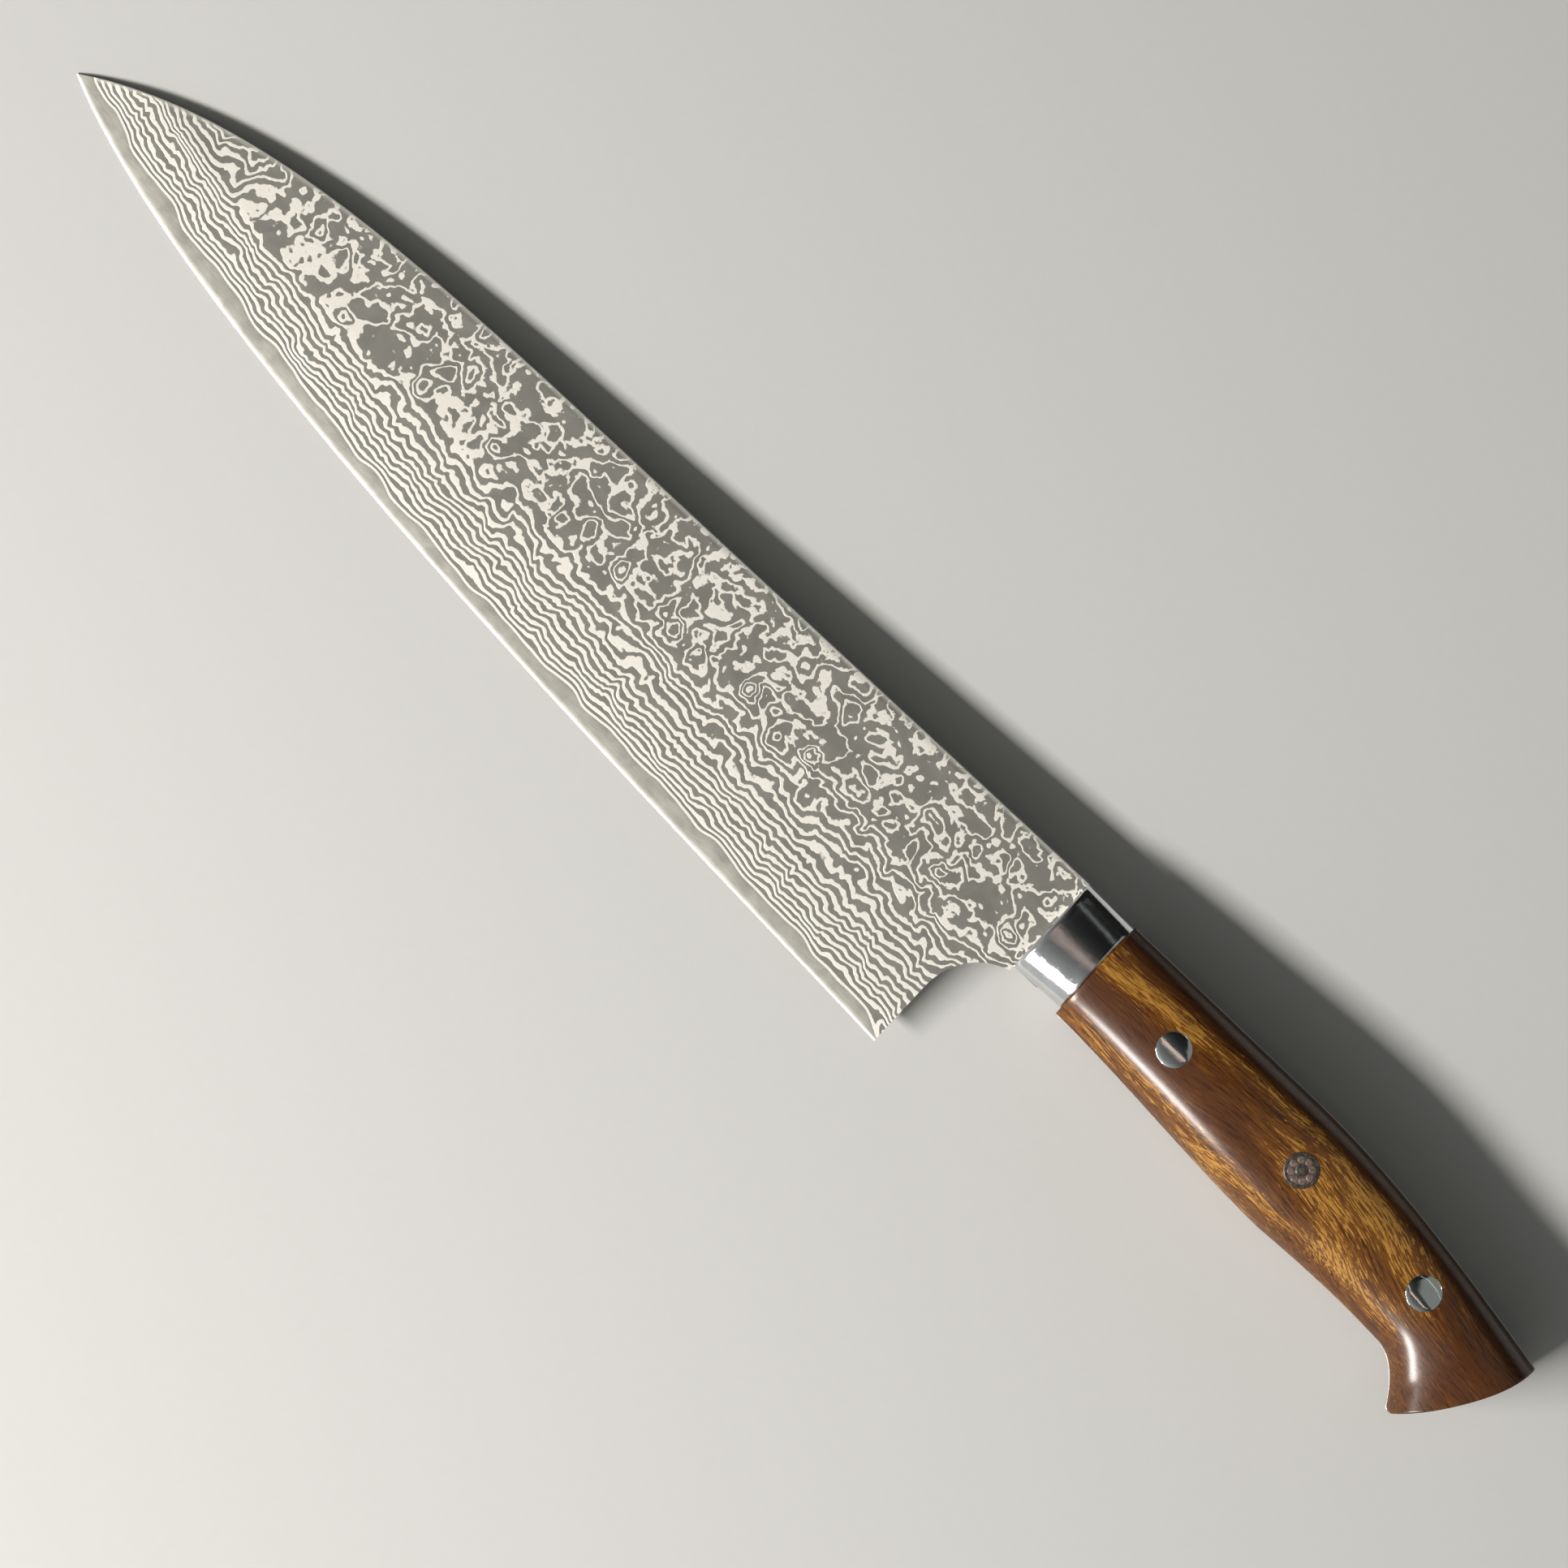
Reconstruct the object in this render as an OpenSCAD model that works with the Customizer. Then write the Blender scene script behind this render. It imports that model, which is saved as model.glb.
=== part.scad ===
// Chef's knife: a three-layer blade with a full tang, a two-piece bolster, two wooden
// scales and three through pins, lying on its right side.
//
// The modules work in the knife's own frame. X runs toward the tip along the straight
// spine, Y runs toward the cutting edge, and Z comes out of the left face. The origin is
// the spine end of the blade at the bolster, on the mid-plane. at_rest() lays it down.

/* [Blade] */
// Distance from the bolster to the tip
blade_len = 247.6; // [238:0.2:256]
// Depth from spine to edge at the heel
heel_depth = 50; // [48:0.5:52]
// How far the heel corner stands forward of the bolster
heel_forward = 9.8; // [9:0.1:11]
// How far the point lies below the straight spine
tip_drop = 18.3; // [17:0.1:20]
// Thickness of the spine at the bolster
spine_t = 2.4; // [2.2:0.1:3]
// Thickness of the flats carried on to the tip
tip_t = 1.36; // [1.2:0.02:1.8]
// Thickness of the core steel between the claddings
core_t = 0.7; // [0.6:0.02:0.9]
// Thickness left at the cutting edge
edge_t = 0.12; // [0.1:0.01:0.2]
// Width of the ground bevel, from the edge to the flat
bevel_w = 33; // [28:1:36]

/* [Bolster] */
// Length of the bolster along the knife
bolster_len = 12; // [11:0.5:13]
// Depth of the bolster from spine to belly
bolster_depth = 21.3; // [20.8:0.1:21.6]
// Thickness of the bolster at the blade
bolster_front_t = 12.2; // [10:0.2:13]
// Thickness of the bolster at the wood
bolster_rear_t = 14.4; // [13.6:0.2:15.2]

/* [Handle] */
// Distance from the blade to the butt
handle_len = 124.6; // [122:0.2:128]
// Thickness of the handle at the bolster
grip_front_t = 16; // [15.8:0.2:18]
// Thickness of the handle at its swell
grip_swell_t = 20.4; // [19:0.2:23]
// Thickness of the handle at its waist
grip_waist_t = 17.6; // [16:0.2:19]
// Thickness of the handle at the butt
grip_butt_t = 21.6; // [20:0.2:24]
// Width of the rounded border of each scale
round_w = 11; // [9:0.5:12]

/* [Pins] */
// Diameter of each through pin
pin_d = 7; // [5:0.5:8]
// Wall of the tube round the mosaic pin
mosaic_wall = 0.6; // [0.4:0.1:0.7]
// Number of rods in the mosaic pin
mosaic_rods = 8; // [6:1:8]

/* [Rest] */
// Pitch that lays the swell of the handle and the point on the table
rest_pitch = 1.87; // [0:0.01:2.5]
// Roll that lets the edge side sink until the knife is steady
rest_roll = -4.46; // [-6:0.01:0]

/* [Hidden] */
$fn = 64;

stub_len = bolster_len / 2;
tang_half = spine_t / 2;
core_half = core_t / 2;

// Outline curves of the blade
spine_curve = [
    [0.565 * blade_len, 0], [0.735 * blade_len, 0.3],
    [0.893 * blade_len, 1.5], [blade_len, tip_drop]
];
edge_curve = [
    [heel_forward, heel_depth], [0.332 * blade_len, 0.9 * heel_depth],
    [0.816 * blade_len, 0.798 * heel_depth], [blade_len, tip_drop]
];
choil_end = bolster_depth + 1.1;
choil_curve = [
    [heel_forward, 0.72 * heel_depth], [heel_forward, 0.59 * heel_depth],
    [0.63 * heel_forward, choil_end + 1.8], [0, choil_end]
];
edge_steps = 24;
heel_slope = (heel_depth - edge_curve[1].y) / (edge_curve[1].x - heel_forward);
tip_slope = (edge_curve[2].y - tip_drop) / (blade_len - edge_curve[2].x);

// Distances in from the edge at which the bevel surface is laid out
bevel_levels = [0, 0.6, 2, 4, 8, 14, 22, 33, 45];
bevel_power = 0.6;

// Places along the handle, from the blade back to the butt
swell_x = -54;
waist_x = -93;
spine_bend_x = -60;
belly_bend_x = -68;
hook_x = -98;
hook_end_x = -109;
butt_curve = [
    [-handle_len, 10], [-handle_len + 1, 17.4], [-handle_len + 8, 27.9], [-handle_len + 14.4, 34.6]
];
crown_power = 2.2;
crown_steps = 16;
grip_stations = concat(
    [-handle_len - 4, -123, -118, -113, hook_end_x, -106.5, -104, -101, hook_x, -91, -84, -76, -68],
    [for (i = [8:-1:0]) mix(-bolster_len, swell_x - 6, i / 8)]
);
pin_places = [[-33.1, 11.6], [-66.3, 11.8], [-99.1, 13.2]];
pin_r = pin_d / 2;

// Curve helpers: a cubic curve through 2D points, and one through four evenly spaced heights
function bezier(p, t) =
    pow(1 - t, 3) * p[0] + 3 * t * pow(1 - t, 2) * p[1] + 3 * t * t * (1 - t) * p[2] + pow(t, 3) * p[3];
function sweep(p, steps) = [for (i = [0:steps]) bezier(p, i / steps)];
function span(x, from, to) = (x - from) / (to - from);
function ease(t) = t * t * (3 - 2 * t);
function mix(a, b, t) = a + (b - a) * t;
function clamp01(t) = min(max(t, 0), 1);
function arc_rise(t, power) = pow(1 - pow(1 - clamp01(t), power), 1 / power);

// Half thickness of the convex grind at distance v from the edge
function bevel_half(v) =
    edge_t / 2 + (spine_t - edge_t) / 2 * pow(max(v, 0) / bevel_w, bevel_power);

// Spine side and belly side of the handle at x
function grip_spine(x) =
    x > spine_bend_x
        ? mix(0.3, 0.9, span(x, -bolster_len, spine_bend_x))
        : bezier([0.9, 1.3, 5.5, 9.8], span(x, spine_bend_x, -124));
function hook_rise(d) = 0.0435 * pow(min(d, 11), 2.2) + 1.7 * max(d - 11, 0);
function grip_belly(x) =
    x > belly_bend_x ? bezier([22.4, 22.9, 25.6, 26.05], span(x, -bolster_len, belly_bend_x))
    : x > hook_x ? bezier([26.05, 25.6, 25.5, 26.2], span(x, belly_bend_x, hook_x))
    : 26.2 + hook_rise(hook_x - x);
function belly_slope(x) = grip_belly(x - 0.25) * 2 - grip_belly(x + 0.25) * 2;

// Half thickness of the handle along its crown, and its surface height at any point
function grip_half(x) =
    (x > swell_x ? mix(grip_front_t, grip_swell_t, ease(span(x, -bolster_len, swell_x)))
     : x > waist_x ? mix(grip_swell_t, grip_waist_t, ease(span(x, swell_x, waist_x)))
     : mix(grip_waist_t, grip_butt_t, ease(clamp01(span(x, waist_x, -handle_len - 2))))) / 2;
function grip_height(x, y) =
    tang_half + (grip_half(x) - tang_half)
        * arc_rise((y - grip_spine(x)) / round_w, crown_power)
        * arc_rise((grip_belly(x) - y) / sqrt(1 + pow(belly_slope(x), 2)) / round_w, crown_power);

// One half section of the handle at x, as points from the spine side to the belly side
function spread(i, steps) = (1 - cos(180 * i / steps)) / 2;
function grip_section(x) = [
    for (i = [0:crown_steps])
        let (y = mix(grip_spine(x), grip_belly(x), spread(i, crown_steps)))
            [x, y, i == 0 || i == crown_steps ? tang_half : grip_height(x, y)]
];

// Half thickness of the bolster: a slight flare toward the wood, rounded at both ends
nose_r = 1.2;
rear_r = 0.7;
function end_drop(d, r) = d < r ? r - sqrt(r * r - pow(r - d, 2)) : 0;
function bolster_half(x) =
    mix(bolster_front_t, bolster_rear_t, pow(-x / bolster_len, 1.3)) / 2
        - end_drop(-x, nose_r) - end_drop(bolster_len + x, rear_r);
function bolster_spine(x) = mix(0, 0.3, -x / bolster_len);
function bolster_belly(x) = bolster_depth - mix(0, 0.3, -x / bolster_len);
function bolster_section(x) = [
    for (i = [0:crown_steps])
        let (
            s = spread(i, crown_steps),
            y = mix(bolster_spine(x), bolster_belly(x), s),
            w = bolster_depth / 2
        )
            [x, y, tang_half + (bolster_half(x) - tang_half)
                * arc_rise((y - bolster_spine(x)) / w, crown_power)
                * arc_rise((bolster_belly(x) - y) / w, crown_power)]
];

// A closed solid through rings of equal length, placed in order of rising x
module loft(rings) {
    n = len(rings[0]);
    last = len(rings) - 1;
    sides = [
        for (i = [0:last - 1], j = [0:n - 1])
            let (a = i * n + j, b = i * n + (j + 1) % n, c = b + n, d = a + n)
                each [[a, b, c], [a, c, d]]
    ];
    first_cap = [for (j = [1:n - 2]) [0, j + 1, j]];
    last_cap = [for (j = [1:n - 2]) [last * n, last * n + j, last * n + j + 1]];
    polyhedron([for (ring = rings) each ring], concat(sides, first_cap, last_cap));
}

// Where a point of the knife comes to when it is rolled and then pitched
function rolled(p) = [
    p.x, p.y * cos(rest_roll) - p.z * sin(rest_roll), p.y * sin(rest_roll) + p.z * cos(rest_roll)
];
function pitched(p) = [
    p.x * cos(rest_pitch) + p.z * sin(rest_pitch), p.y, p.z * cos(rest_pitch) - p.x * sin(rest_pitch)
];
function lie(p) = pitched(rolled(p));
underside_heights = [
    for (x = grip_stations, q = grip_section(x)) if (x > hook_x) lie([q.x, q.y, -q.z]).z
];
rest_centre = [
    (lie([blade_len, tip_drop, 0]).x + lie([-handle_len, butt_curve[0].y, 0]).x) / 2,
    (lie([heel_forward, heel_depth, 0]).y + lie([0, 0, -tang_half]).y) / 2,
    min(underside_heights)
];

// Lays the knife on its right side on the table, with its box centred over the origin
module at_rest() {
    translate(-rest_centre) rotate([rest_roll, rest_pitch, 0]) children();
}

// Blade plan: spine, point, edge, heel, choil and the stub inside the bolster
module blade_plan() {
    polygon(concat(
        [[-stub_len, bolster_spine(-stub_len)], [0, 0]],
        sweep(spine_curve, 18),
        [for (i = [edge_steps - 1:-1:0]) bezier(edge_curve, i / edge_steps)],
        sweep(choil_curve, 8),
        [[0, bolster_depth], [-stub_len, bolster_belly(-stub_len)]]
    ));
}

// The bevel surface of the left face, laid out from the edge inward at stations along it
edge_stations = concat(
    [[0, heel_depth + heel_slope * heel_forward]],
    sweep(edge_curve, edge_steps),
    [[blade_len + 8, tip_drop - 8 * tip_slope]]
);
module bevel_cutter() {
    loft([
        for (p = edge_stations)
            concat(
                [[p.x, p.y + 5, 9], [p.x, p.y + 5, edge_t / 2]],
                [for (v = bevel_levels) [p.x, p.y - v, bevel_half(v)]],
                [[p.x, p.y - bevel_levels[len(bevel_levels) - 1], 9]]
            )
    ]);
}

// Side view of the left cladding: flat in the bolster, then thinning toward the point
module cladding_side() {
    polygon([
        [-stub_len - 1, core_half], [blade_len + 1, core_half], [blade_len + 1, tip_t / 2],
        [0, tang_half], [-stub_len - 1, tang_half]
    ]);
}

module cladding() {
    difference() {
        intersection() {
            linear_extrude(height = 4) blade_plan();
            translate([0, heel_depth + 10, 0]) rotate([90, 0, 0])
                linear_extrude(height = heel_depth + 20) cladding_side();
        }
        bevel_cutter();
    }
}

module blade_core() {
    color([0.60, 0.59, 0.55]) at_rest() difference() {
        translate([0, 0, -core_half]) linear_extrude(height = core_t) blade_plan();
        bevel_cutter();
        mirror([0, 0, 1]) bevel_cutter();
    }
}

module cladding_left() {
    color([0.72, 0.71, 0.67]) at_rest() cladding();
}

module cladding_right() {
    color([0.66, 0.65, 0.62]) at_rest() mirror([0, 0, 1]) cladding();
}

// Tang plan: the neck inside the bolster, then the handle's spine side, butt, hook and belly
module tang_plan() {
    neck = [
        [-bolster_len, bolster_belly(-bolster_len)],
        [-stub_len, bolster_belly(-stub_len)],
        [-stub_len, bolster_spine(-stub_len)]
    ];
    polygon(concat(
        neck,
        [for (x = [-bolster_len, -36, -60, -68, -76, -84, -92, -100, -108, -116]) [x, grip_spine(x)]],
        sweep(butt_curve, 10),
        [for (x = [hook_end_x, -107.5, -106, -104, -102, -100, hook_x]) [x, grip_belly(x)]],
        [for (x = [-90:6:-14]) [x, grip_belly(x)]],
        [[-bolster_len, grip_belly(-bolster_len)]]
    ));
}

module tang() {
    color([0.74, 0.75, 0.76]) at_rest() difference() {
        translate([0, 0, -tang_half]) linear_extrude(height = spine_t) tang_plan();
        for (p = pin_places) pin_blank(p, pin_r);
    }
}

module bolster_half_solid() {
    rear_stations = [for (i = [0:3]) -bolster_len + rear_r * (1 - cos(90 * i / 3))];
    flare_stations = [for (i = [4:-1:1]) mix(-nose_r, -bolster_len + rear_r, i / 5)];
    nose_stations = [for (i = [4:-1:0]) -nose_r * (1 - cos(90 * i / 4))];
    loft([for (x = concat(rear_stations, flare_stations, nose_stations)) bolster_section(x)]);
}

module bolster_left() {
    color([0.80, 0.81, 0.82]) at_rest() bolster_half_solid();
}

module bolster_right() {
    color([0.76, 0.77, 0.78]) at_rest() mirror([0, 0, 1]) bolster_half_solid();
}

// Everything past the butt, to be cut away
module butt_cutter() {
    translate([0, 0, -20]) linear_extrude(height = 40) polygon(concat(
        [[-160, -20], [-handle_len, -20]],
        sweep(butt_curve, 10),
        [[hook_end_x, grip_belly(hook_end_x)], [hook_end_x, 90], [-160, 90]]
    ));
}

module scale_blank() {
    difference() {
        loft([for (x = grip_stations) grip_section(x)]);
        butt_cutter();
    }
}

// The whole rounded handle, which trims the pins flush with the wood
module grip_envelope() {
    loft([
        for (x = grip_stations)
            let (s = grip_section(x))
                concat(s, [for (i = [crown_steps:-1:0]) [s[i].x, s[i].y, -s[i].z]])
    ]);
}

module pin_blank(place, r) {
    translate([place.x, place.y, -20]) cylinder(r = r, h = 40);
}

module wood_scale() {
    difference() {
        scale_blank();
        for (p = pin_places) pin_blank(p, pin_r);
    }
}

module scale_left() {
    color([0.45, 0.27, 0.11]) at_rest() wood_scale();
}

module scale_right() {
    color([0.40, 0.24, 0.10]) at_rest() mirror([0, 0, 1]) wood_scale();
}

module plain_pin(place) {
    intersection() {
        pin_blank(place, pin_r);
        grip_envelope();
    }
}

module front_pin() {
    color([0.78, 0.79, 0.80]) at_rest() plain_pin(pin_places[0]);
}

module rear_pin() {
    color([0.78, 0.79, 0.80]) at_rest() plain_pin(pin_places[2]);
}

// Mosaic pin: a tube filled with a ring of rods round a small centre tube, set in resin
mosaic_place = pin_places[1];
mosaic_bore_r = pin_r - mosaic_wall;
rod_r = 0.26 * mosaic_bore_r;
rod_ring_r = mosaic_bore_r - rod_r - 0.08;
core_tube_r = rod_ring_r - rod_r - 0.12;
core_bore_r = core_tube_r / 2;

module mosaic_rod_blanks() {
    for (i = [0:mosaic_rods - 1])
        translate([
            rod_ring_r * cos(360 * i / mosaic_rods),
            rod_ring_r * sin(360 * i / mosaic_rods), 0
        ])
            pin_blank(mosaic_place, rod_r);
}

module mosaic_pin_tube() {
    color([0.35, 0.33, 0.30]) at_rest() difference() {
        plain_pin(mosaic_place);
        pin_blank(mosaic_place, mosaic_bore_r);
    }
}

module mosaic_pin_rods() {
    color([0.72, 0.52, 0.34]) at_rest() intersection() {
        mosaic_rod_blanks();
        grip_envelope();
    }
}

module mosaic_pin_core() {
    color([0.70, 0.70, 0.70]) at_rest() difference() {
        intersection() {
            pin_blank(mosaic_place, core_tube_r);
            grip_envelope();
        }
        pin_blank(mosaic_place, core_bore_r);
    }
}

module mosaic_pin_resin() {
    color([0.25, 0.20, 0.17]) at_rest() {
        difference() {
            intersection() {
                pin_blank(mosaic_place, mosaic_bore_r);
                grip_envelope();
            }
            mosaic_rod_blanks();
            pin_blank(mosaic_place, core_tube_r);
        }
        intersection() {
            pin_blank(mosaic_place, core_bore_r);
            grip_envelope();
        }
    }
}

blade_core();
cladding_left();
cladding_right();
tang();
bolster_left();
bolster_right();
scale_left();
scale_right();
front_pin();
rear_pin();
mosaic_pin_tube();
mosaic_pin_rods();
mosaic_pin_core();
mosaic_pin_resin();
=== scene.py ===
"""Shapes and finishes of a chef's knife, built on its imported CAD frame.

Every shape is worked out in the knife's own frame, in millimetres: X runs toward the
point along the straight spine, Y toward the cutting edge and Z out of the left face, from
the spine end of the blade at the bolster, on the mid-plane. KnifeFrame lays it down.
"""

import logging
import math
from dataclasses import dataclass, field
from enum import Enum
from typing import Callable, Dict, List, Optional, Sequence, Tuple, Union

import bmesh
import bpy
import numpy as np
from mathutils import Matrix, Vector


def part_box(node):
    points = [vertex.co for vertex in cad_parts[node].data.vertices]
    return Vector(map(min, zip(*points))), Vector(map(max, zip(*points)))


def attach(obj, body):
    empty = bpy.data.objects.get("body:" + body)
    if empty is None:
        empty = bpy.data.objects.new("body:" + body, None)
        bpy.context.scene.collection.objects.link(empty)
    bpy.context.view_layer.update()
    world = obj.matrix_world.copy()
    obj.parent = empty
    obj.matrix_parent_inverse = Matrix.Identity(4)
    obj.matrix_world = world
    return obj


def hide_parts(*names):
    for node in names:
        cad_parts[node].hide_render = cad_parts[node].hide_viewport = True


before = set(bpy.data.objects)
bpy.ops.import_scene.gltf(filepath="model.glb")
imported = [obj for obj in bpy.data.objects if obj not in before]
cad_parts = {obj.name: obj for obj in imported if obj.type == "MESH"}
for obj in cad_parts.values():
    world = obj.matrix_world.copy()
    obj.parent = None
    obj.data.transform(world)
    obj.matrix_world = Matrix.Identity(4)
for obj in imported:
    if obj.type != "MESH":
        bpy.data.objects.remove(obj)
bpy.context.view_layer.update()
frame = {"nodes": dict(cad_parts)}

LOG = logging.getLogger("chef_knife")
MM = 0.001

Colour = Tuple[float, float, float]
Place2 = Tuple[float, float]
Feed = Union[bpy.types.NodeSocket, float, Sequence[float]]
Rule = Callable[[np.ndarray], np.ndarray]


class Side(Enum):
    """Which face of the knife a piece is on; the value is the sign of its Z."""

    LEFT = 1
    RIGHT = -1


class Stretch(Enum):
    """Which stretch of the blade a station is on: in the bolster, behind the heel or past it."""

    STUB = 0
    CHOIL = 1
    BODY = 2


# ---------------------------------------------------------------- curve helpers


def mix(a: np.ndarray, b: np.ndarray, t: np.ndarray) -> np.ndarray:
    """Value a share t of the way from a to b."""
    return a + (b - a) * t


def ease(t: np.ndarray) -> np.ndarray:
    """Share t, limited to 0..1 and eased at both ends."""
    t = np.clip(t, 0.0, 1.0)
    return t * t * (3.0 - 2.0 * t)


def span(x: np.ndarray, start: float, end: float) -> np.ndarray:
    """Share of the way that x has come from start to end."""
    return (x - start) / (end - start)


def cubic(points: Sequence, t: np.ndarray) -> np.ndarray:
    """Point or height of a cubic Bezier curve.

    Args:
        points: The four control points, or four heights.
        t: Shares of the way along the curve.

    Returns:
        One row per share, or one height per share.
    """
    p = [np.asarray(q, float) for q in points]
    t = np.asarray(t, float)
    if p[0].ndim:
        t = t[..., None]
    u = 1.0 - t
    return u**3 * p[0] + 3 * t * u**2 * p[1] + 3 * t**2 * u * p[2] + t**3 * p[3]


def arc_rise(t: np.ndarray, power: float = 2.2) -> np.ndarray:
    """Height of a rounded shoulder, from 0 at the border to 1 at the crown."""
    t = np.clip(t, 0.0, 1.0)
    return (1.0 - (1.0 - t) ** power) ** (1.0 / power)


def end_drop(distance: np.ndarray, radius: float) -> np.ndarray:
    """How far a rounded edge of that radius has fallen at a distance from the wall."""
    inside = np.clip(radius - distance, 0.0, radius)
    return radius - np.sqrt(radius**2 - inside**2)


def spread(count: int) -> np.ndarray:
    """Shares from 0 to 1, crowded toward both ends."""
    return (1.0 - np.cos(np.pi * np.arange(count + 1) / count)) / 2.0


# ---------------------------------------------------------------- outlines


@dataclass(frozen=True)
class BladePlan:
    """Outline and grind of the blade, the same as the CAD blade's."""

    length: float = 247.6
    heel_depth: float = 50.0
    heel_forward: float = 9.8
    tip_drop: float = 18.3
    spine_bends: Tuple[Place2, ...] = ((0.565, 0.0), (0.735, 0.3), (0.893, 1.5))
    edge_bends: Tuple[Place2, ...] = ((0.332, 0.9), (0.816, 0.798))
    spine_half: float = 1.2
    tip_half: float = 0.68
    core_half: float = 0.35
    edge_half: float = 0.06
    bevel_width: float = 33.0
    bevel_power: float = 0.6
    choil_end: float = 22.4
    choil_bend: Tuple[float, float, float, float] = (0.63, 1.8, 0.59, 0.72)
    stub_depth: float = 21.3
    stub_length: float = 6.0
    stub_top: float = 0.15
    samples: int = 400

    def spine_y(self, x: np.ndarray) -> np.ndarray:
        """Y of the spine side at x."""
        ends = [(share * self.length, drop) for share, drop in self.spine_bends]
        line = cubic([*ends, (self.length, self.tip_drop)], np.linspace(0, 1, self.samples))
        stub = self.stub_top * np.clip(-np.asarray(x, float) / self.stub_length, 0.0, 1.0)
        return np.where(x < line[0, 0], stub, np.interp(x, line[:, 0], line[:, 1]))

    def edge_y(self, x: np.ndarray) -> np.ndarray:
        """Y of the cutting edge at x, carried on straight behind the heel."""
        ends = [
            (self.heel_forward, self.heel_depth),
            *((along * self.length, deep * self.heel_depth) for along, deep in self.edge_bends),
            (self.length, self.tip_drop),
        ]
        line = cubic(ends, np.linspace(0, 1, self.samples))
        slope = (ends[0][1] - ends[1][1]) / (ends[1][0] - ends[0][0])
        behind = self.heel_depth + slope * (self.heel_forward - x)
        return np.where(x < self.heel_forward, behind, np.interp(x, line[:, 0], line[:, 1]))

    def choil_y(self, x: np.ndarray) -> np.ndarray:
        """Y of the choil curve at x, between the bolster and the heel."""
        forward = self.heel_forward
        share, rise, low, high = self.choil_bend
        ends = [
            (0.0, self.choil_end),
            (share * forward, self.choil_end + rise),
            (forward, low * self.heel_depth),
            (forward, high * self.heel_depth),
        ]
        line = cubic(ends, np.linspace(0, 1, self.samples))
        return np.interp(x, line[:, 0], line[:, 1])

    def bevel_half(self, gap: np.ndarray) -> np.ndarray:
        """Half thickness of the grind at a distance from the cutting edge."""
        share = (np.maximum(gap, 0.0) / self.bevel_width) ** self.bevel_power
        return self.edge_half + (self.spine_half - self.edge_half) * share

    def flat_half(self, x: np.ndarray) -> np.ndarray:
        """Half thickness of the flats at x."""
        return self.spine_half - (self.spine_half - self.tip_half) * np.maximum(x, 0.0) / self.length


@dataclass(frozen=True)
class GripPlan:
    """Outline and rounding of the handle, the same as the CAD handle's."""

    front: float = -12.0
    butt: float = -124.6
    spine_bend: float = -60.0
    spine_end: float = -124.0
    spine_ys: Tuple[Tuple[float, ...], ...] = ((0.3, 0.9), (0.9, 1.3, 5.5, 9.8))
    belly_bend: float = -68.0
    belly_ys: Tuple[Tuple[float, ...], ...] = ((22.4, 22.9, 25.6, 26.05), (26.05, 25.6, 25.5, 26.2))
    swell: float = -54.0
    waist: float = -93.0
    hook: float = -98.0
    hook_end: float = -109.0
    hook_curve: Tuple[float, float, float] = (0.0435, 2.2, 1.7)
    tang_half: float = 1.2
    round_width: float = 11.0
    halves: Tuple[float, float, float, float] = (8.0, 10.2, 8.8, 10.8)
    butt_curve: Tuple[Place2, ...] = ((-124.6, 10.0), (-123.6, 17.4), (-116.6, 27.9), (-110.2, 34.6))
    pins: Tuple[Place2, Place2, Place2] = ((-33.1, 11.6), (-66.3, 11.8), (-99.1, 13.2))

    def spine_y(self, x: np.ndarray) -> np.ndarray:
        """Y of the handle's spine side at x."""
        front = mix(*self.spine_ys[0], span(x, self.front, self.spine_bend))
        rear = cubic(self.spine_ys[1], span(x, self.spine_bend, self.spine_end))
        return np.where(x > self.spine_bend, front, rear)

    def belly_y(self, x: np.ndarray) -> np.ndarray:
        """Y of the handle's belly side at x, down the hook."""
        front = cubic(self.belly_ys[0], span(x, self.front, self.belly_bend))
        middle = cubic(self.belly_ys[1], span(x, self.belly_bend, self.hook))
        factor, power, slope = self.hook_curve
        past = np.maximum(self.hook - x, 0.0)
        bent = self.hook - self.hook_end
        hook = self.belly_ys[1][-1] + factor * np.minimum(past, bent) ** power
        hook = hook + slope * np.maximum(past - bent, 0.0)
        return np.where(x > self.belly_bend, front, np.where(x > self.hook, middle, hook))

    def half(self, x: np.ndarray) -> np.ndarray:
        """Half thickness of the handle along its crown at x."""
        front, swell, waist, butt = self.halves
        first = mix(front, swell, ease(span(x, self.front, self.swell)))
        second = mix(swell, waist, ease(span(x, self.swell, self.waist)))
        third = mix(waist, butt, ease(span(x, self.waist, self.butt - 2.0)))
        return np.where(x > self.swell, first, np.where(x > self.waist, second, third))

    def height(self, x: np.ndarray, y: np.ndarray) -> np.ndarray:
        """Height of the rounded handle over the mid-plane at a place."""
        slope = (self.belly_y(x - 0.25) - self.belly_y(x + 0.25)) * 2.0
        over_spine = arc_rise((y - self.spine_y(x)) / self.round_width)
        over_belly = arc_rise((self.belly_y(x) - y) / np.sqrt(1.0 + slope**2) / self.round_width)
        return self.tang_half + (self.half(x) - self.tang_half) * over_spine * over_belly


# ---------------------------------------------------------------- the knife's frame


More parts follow.
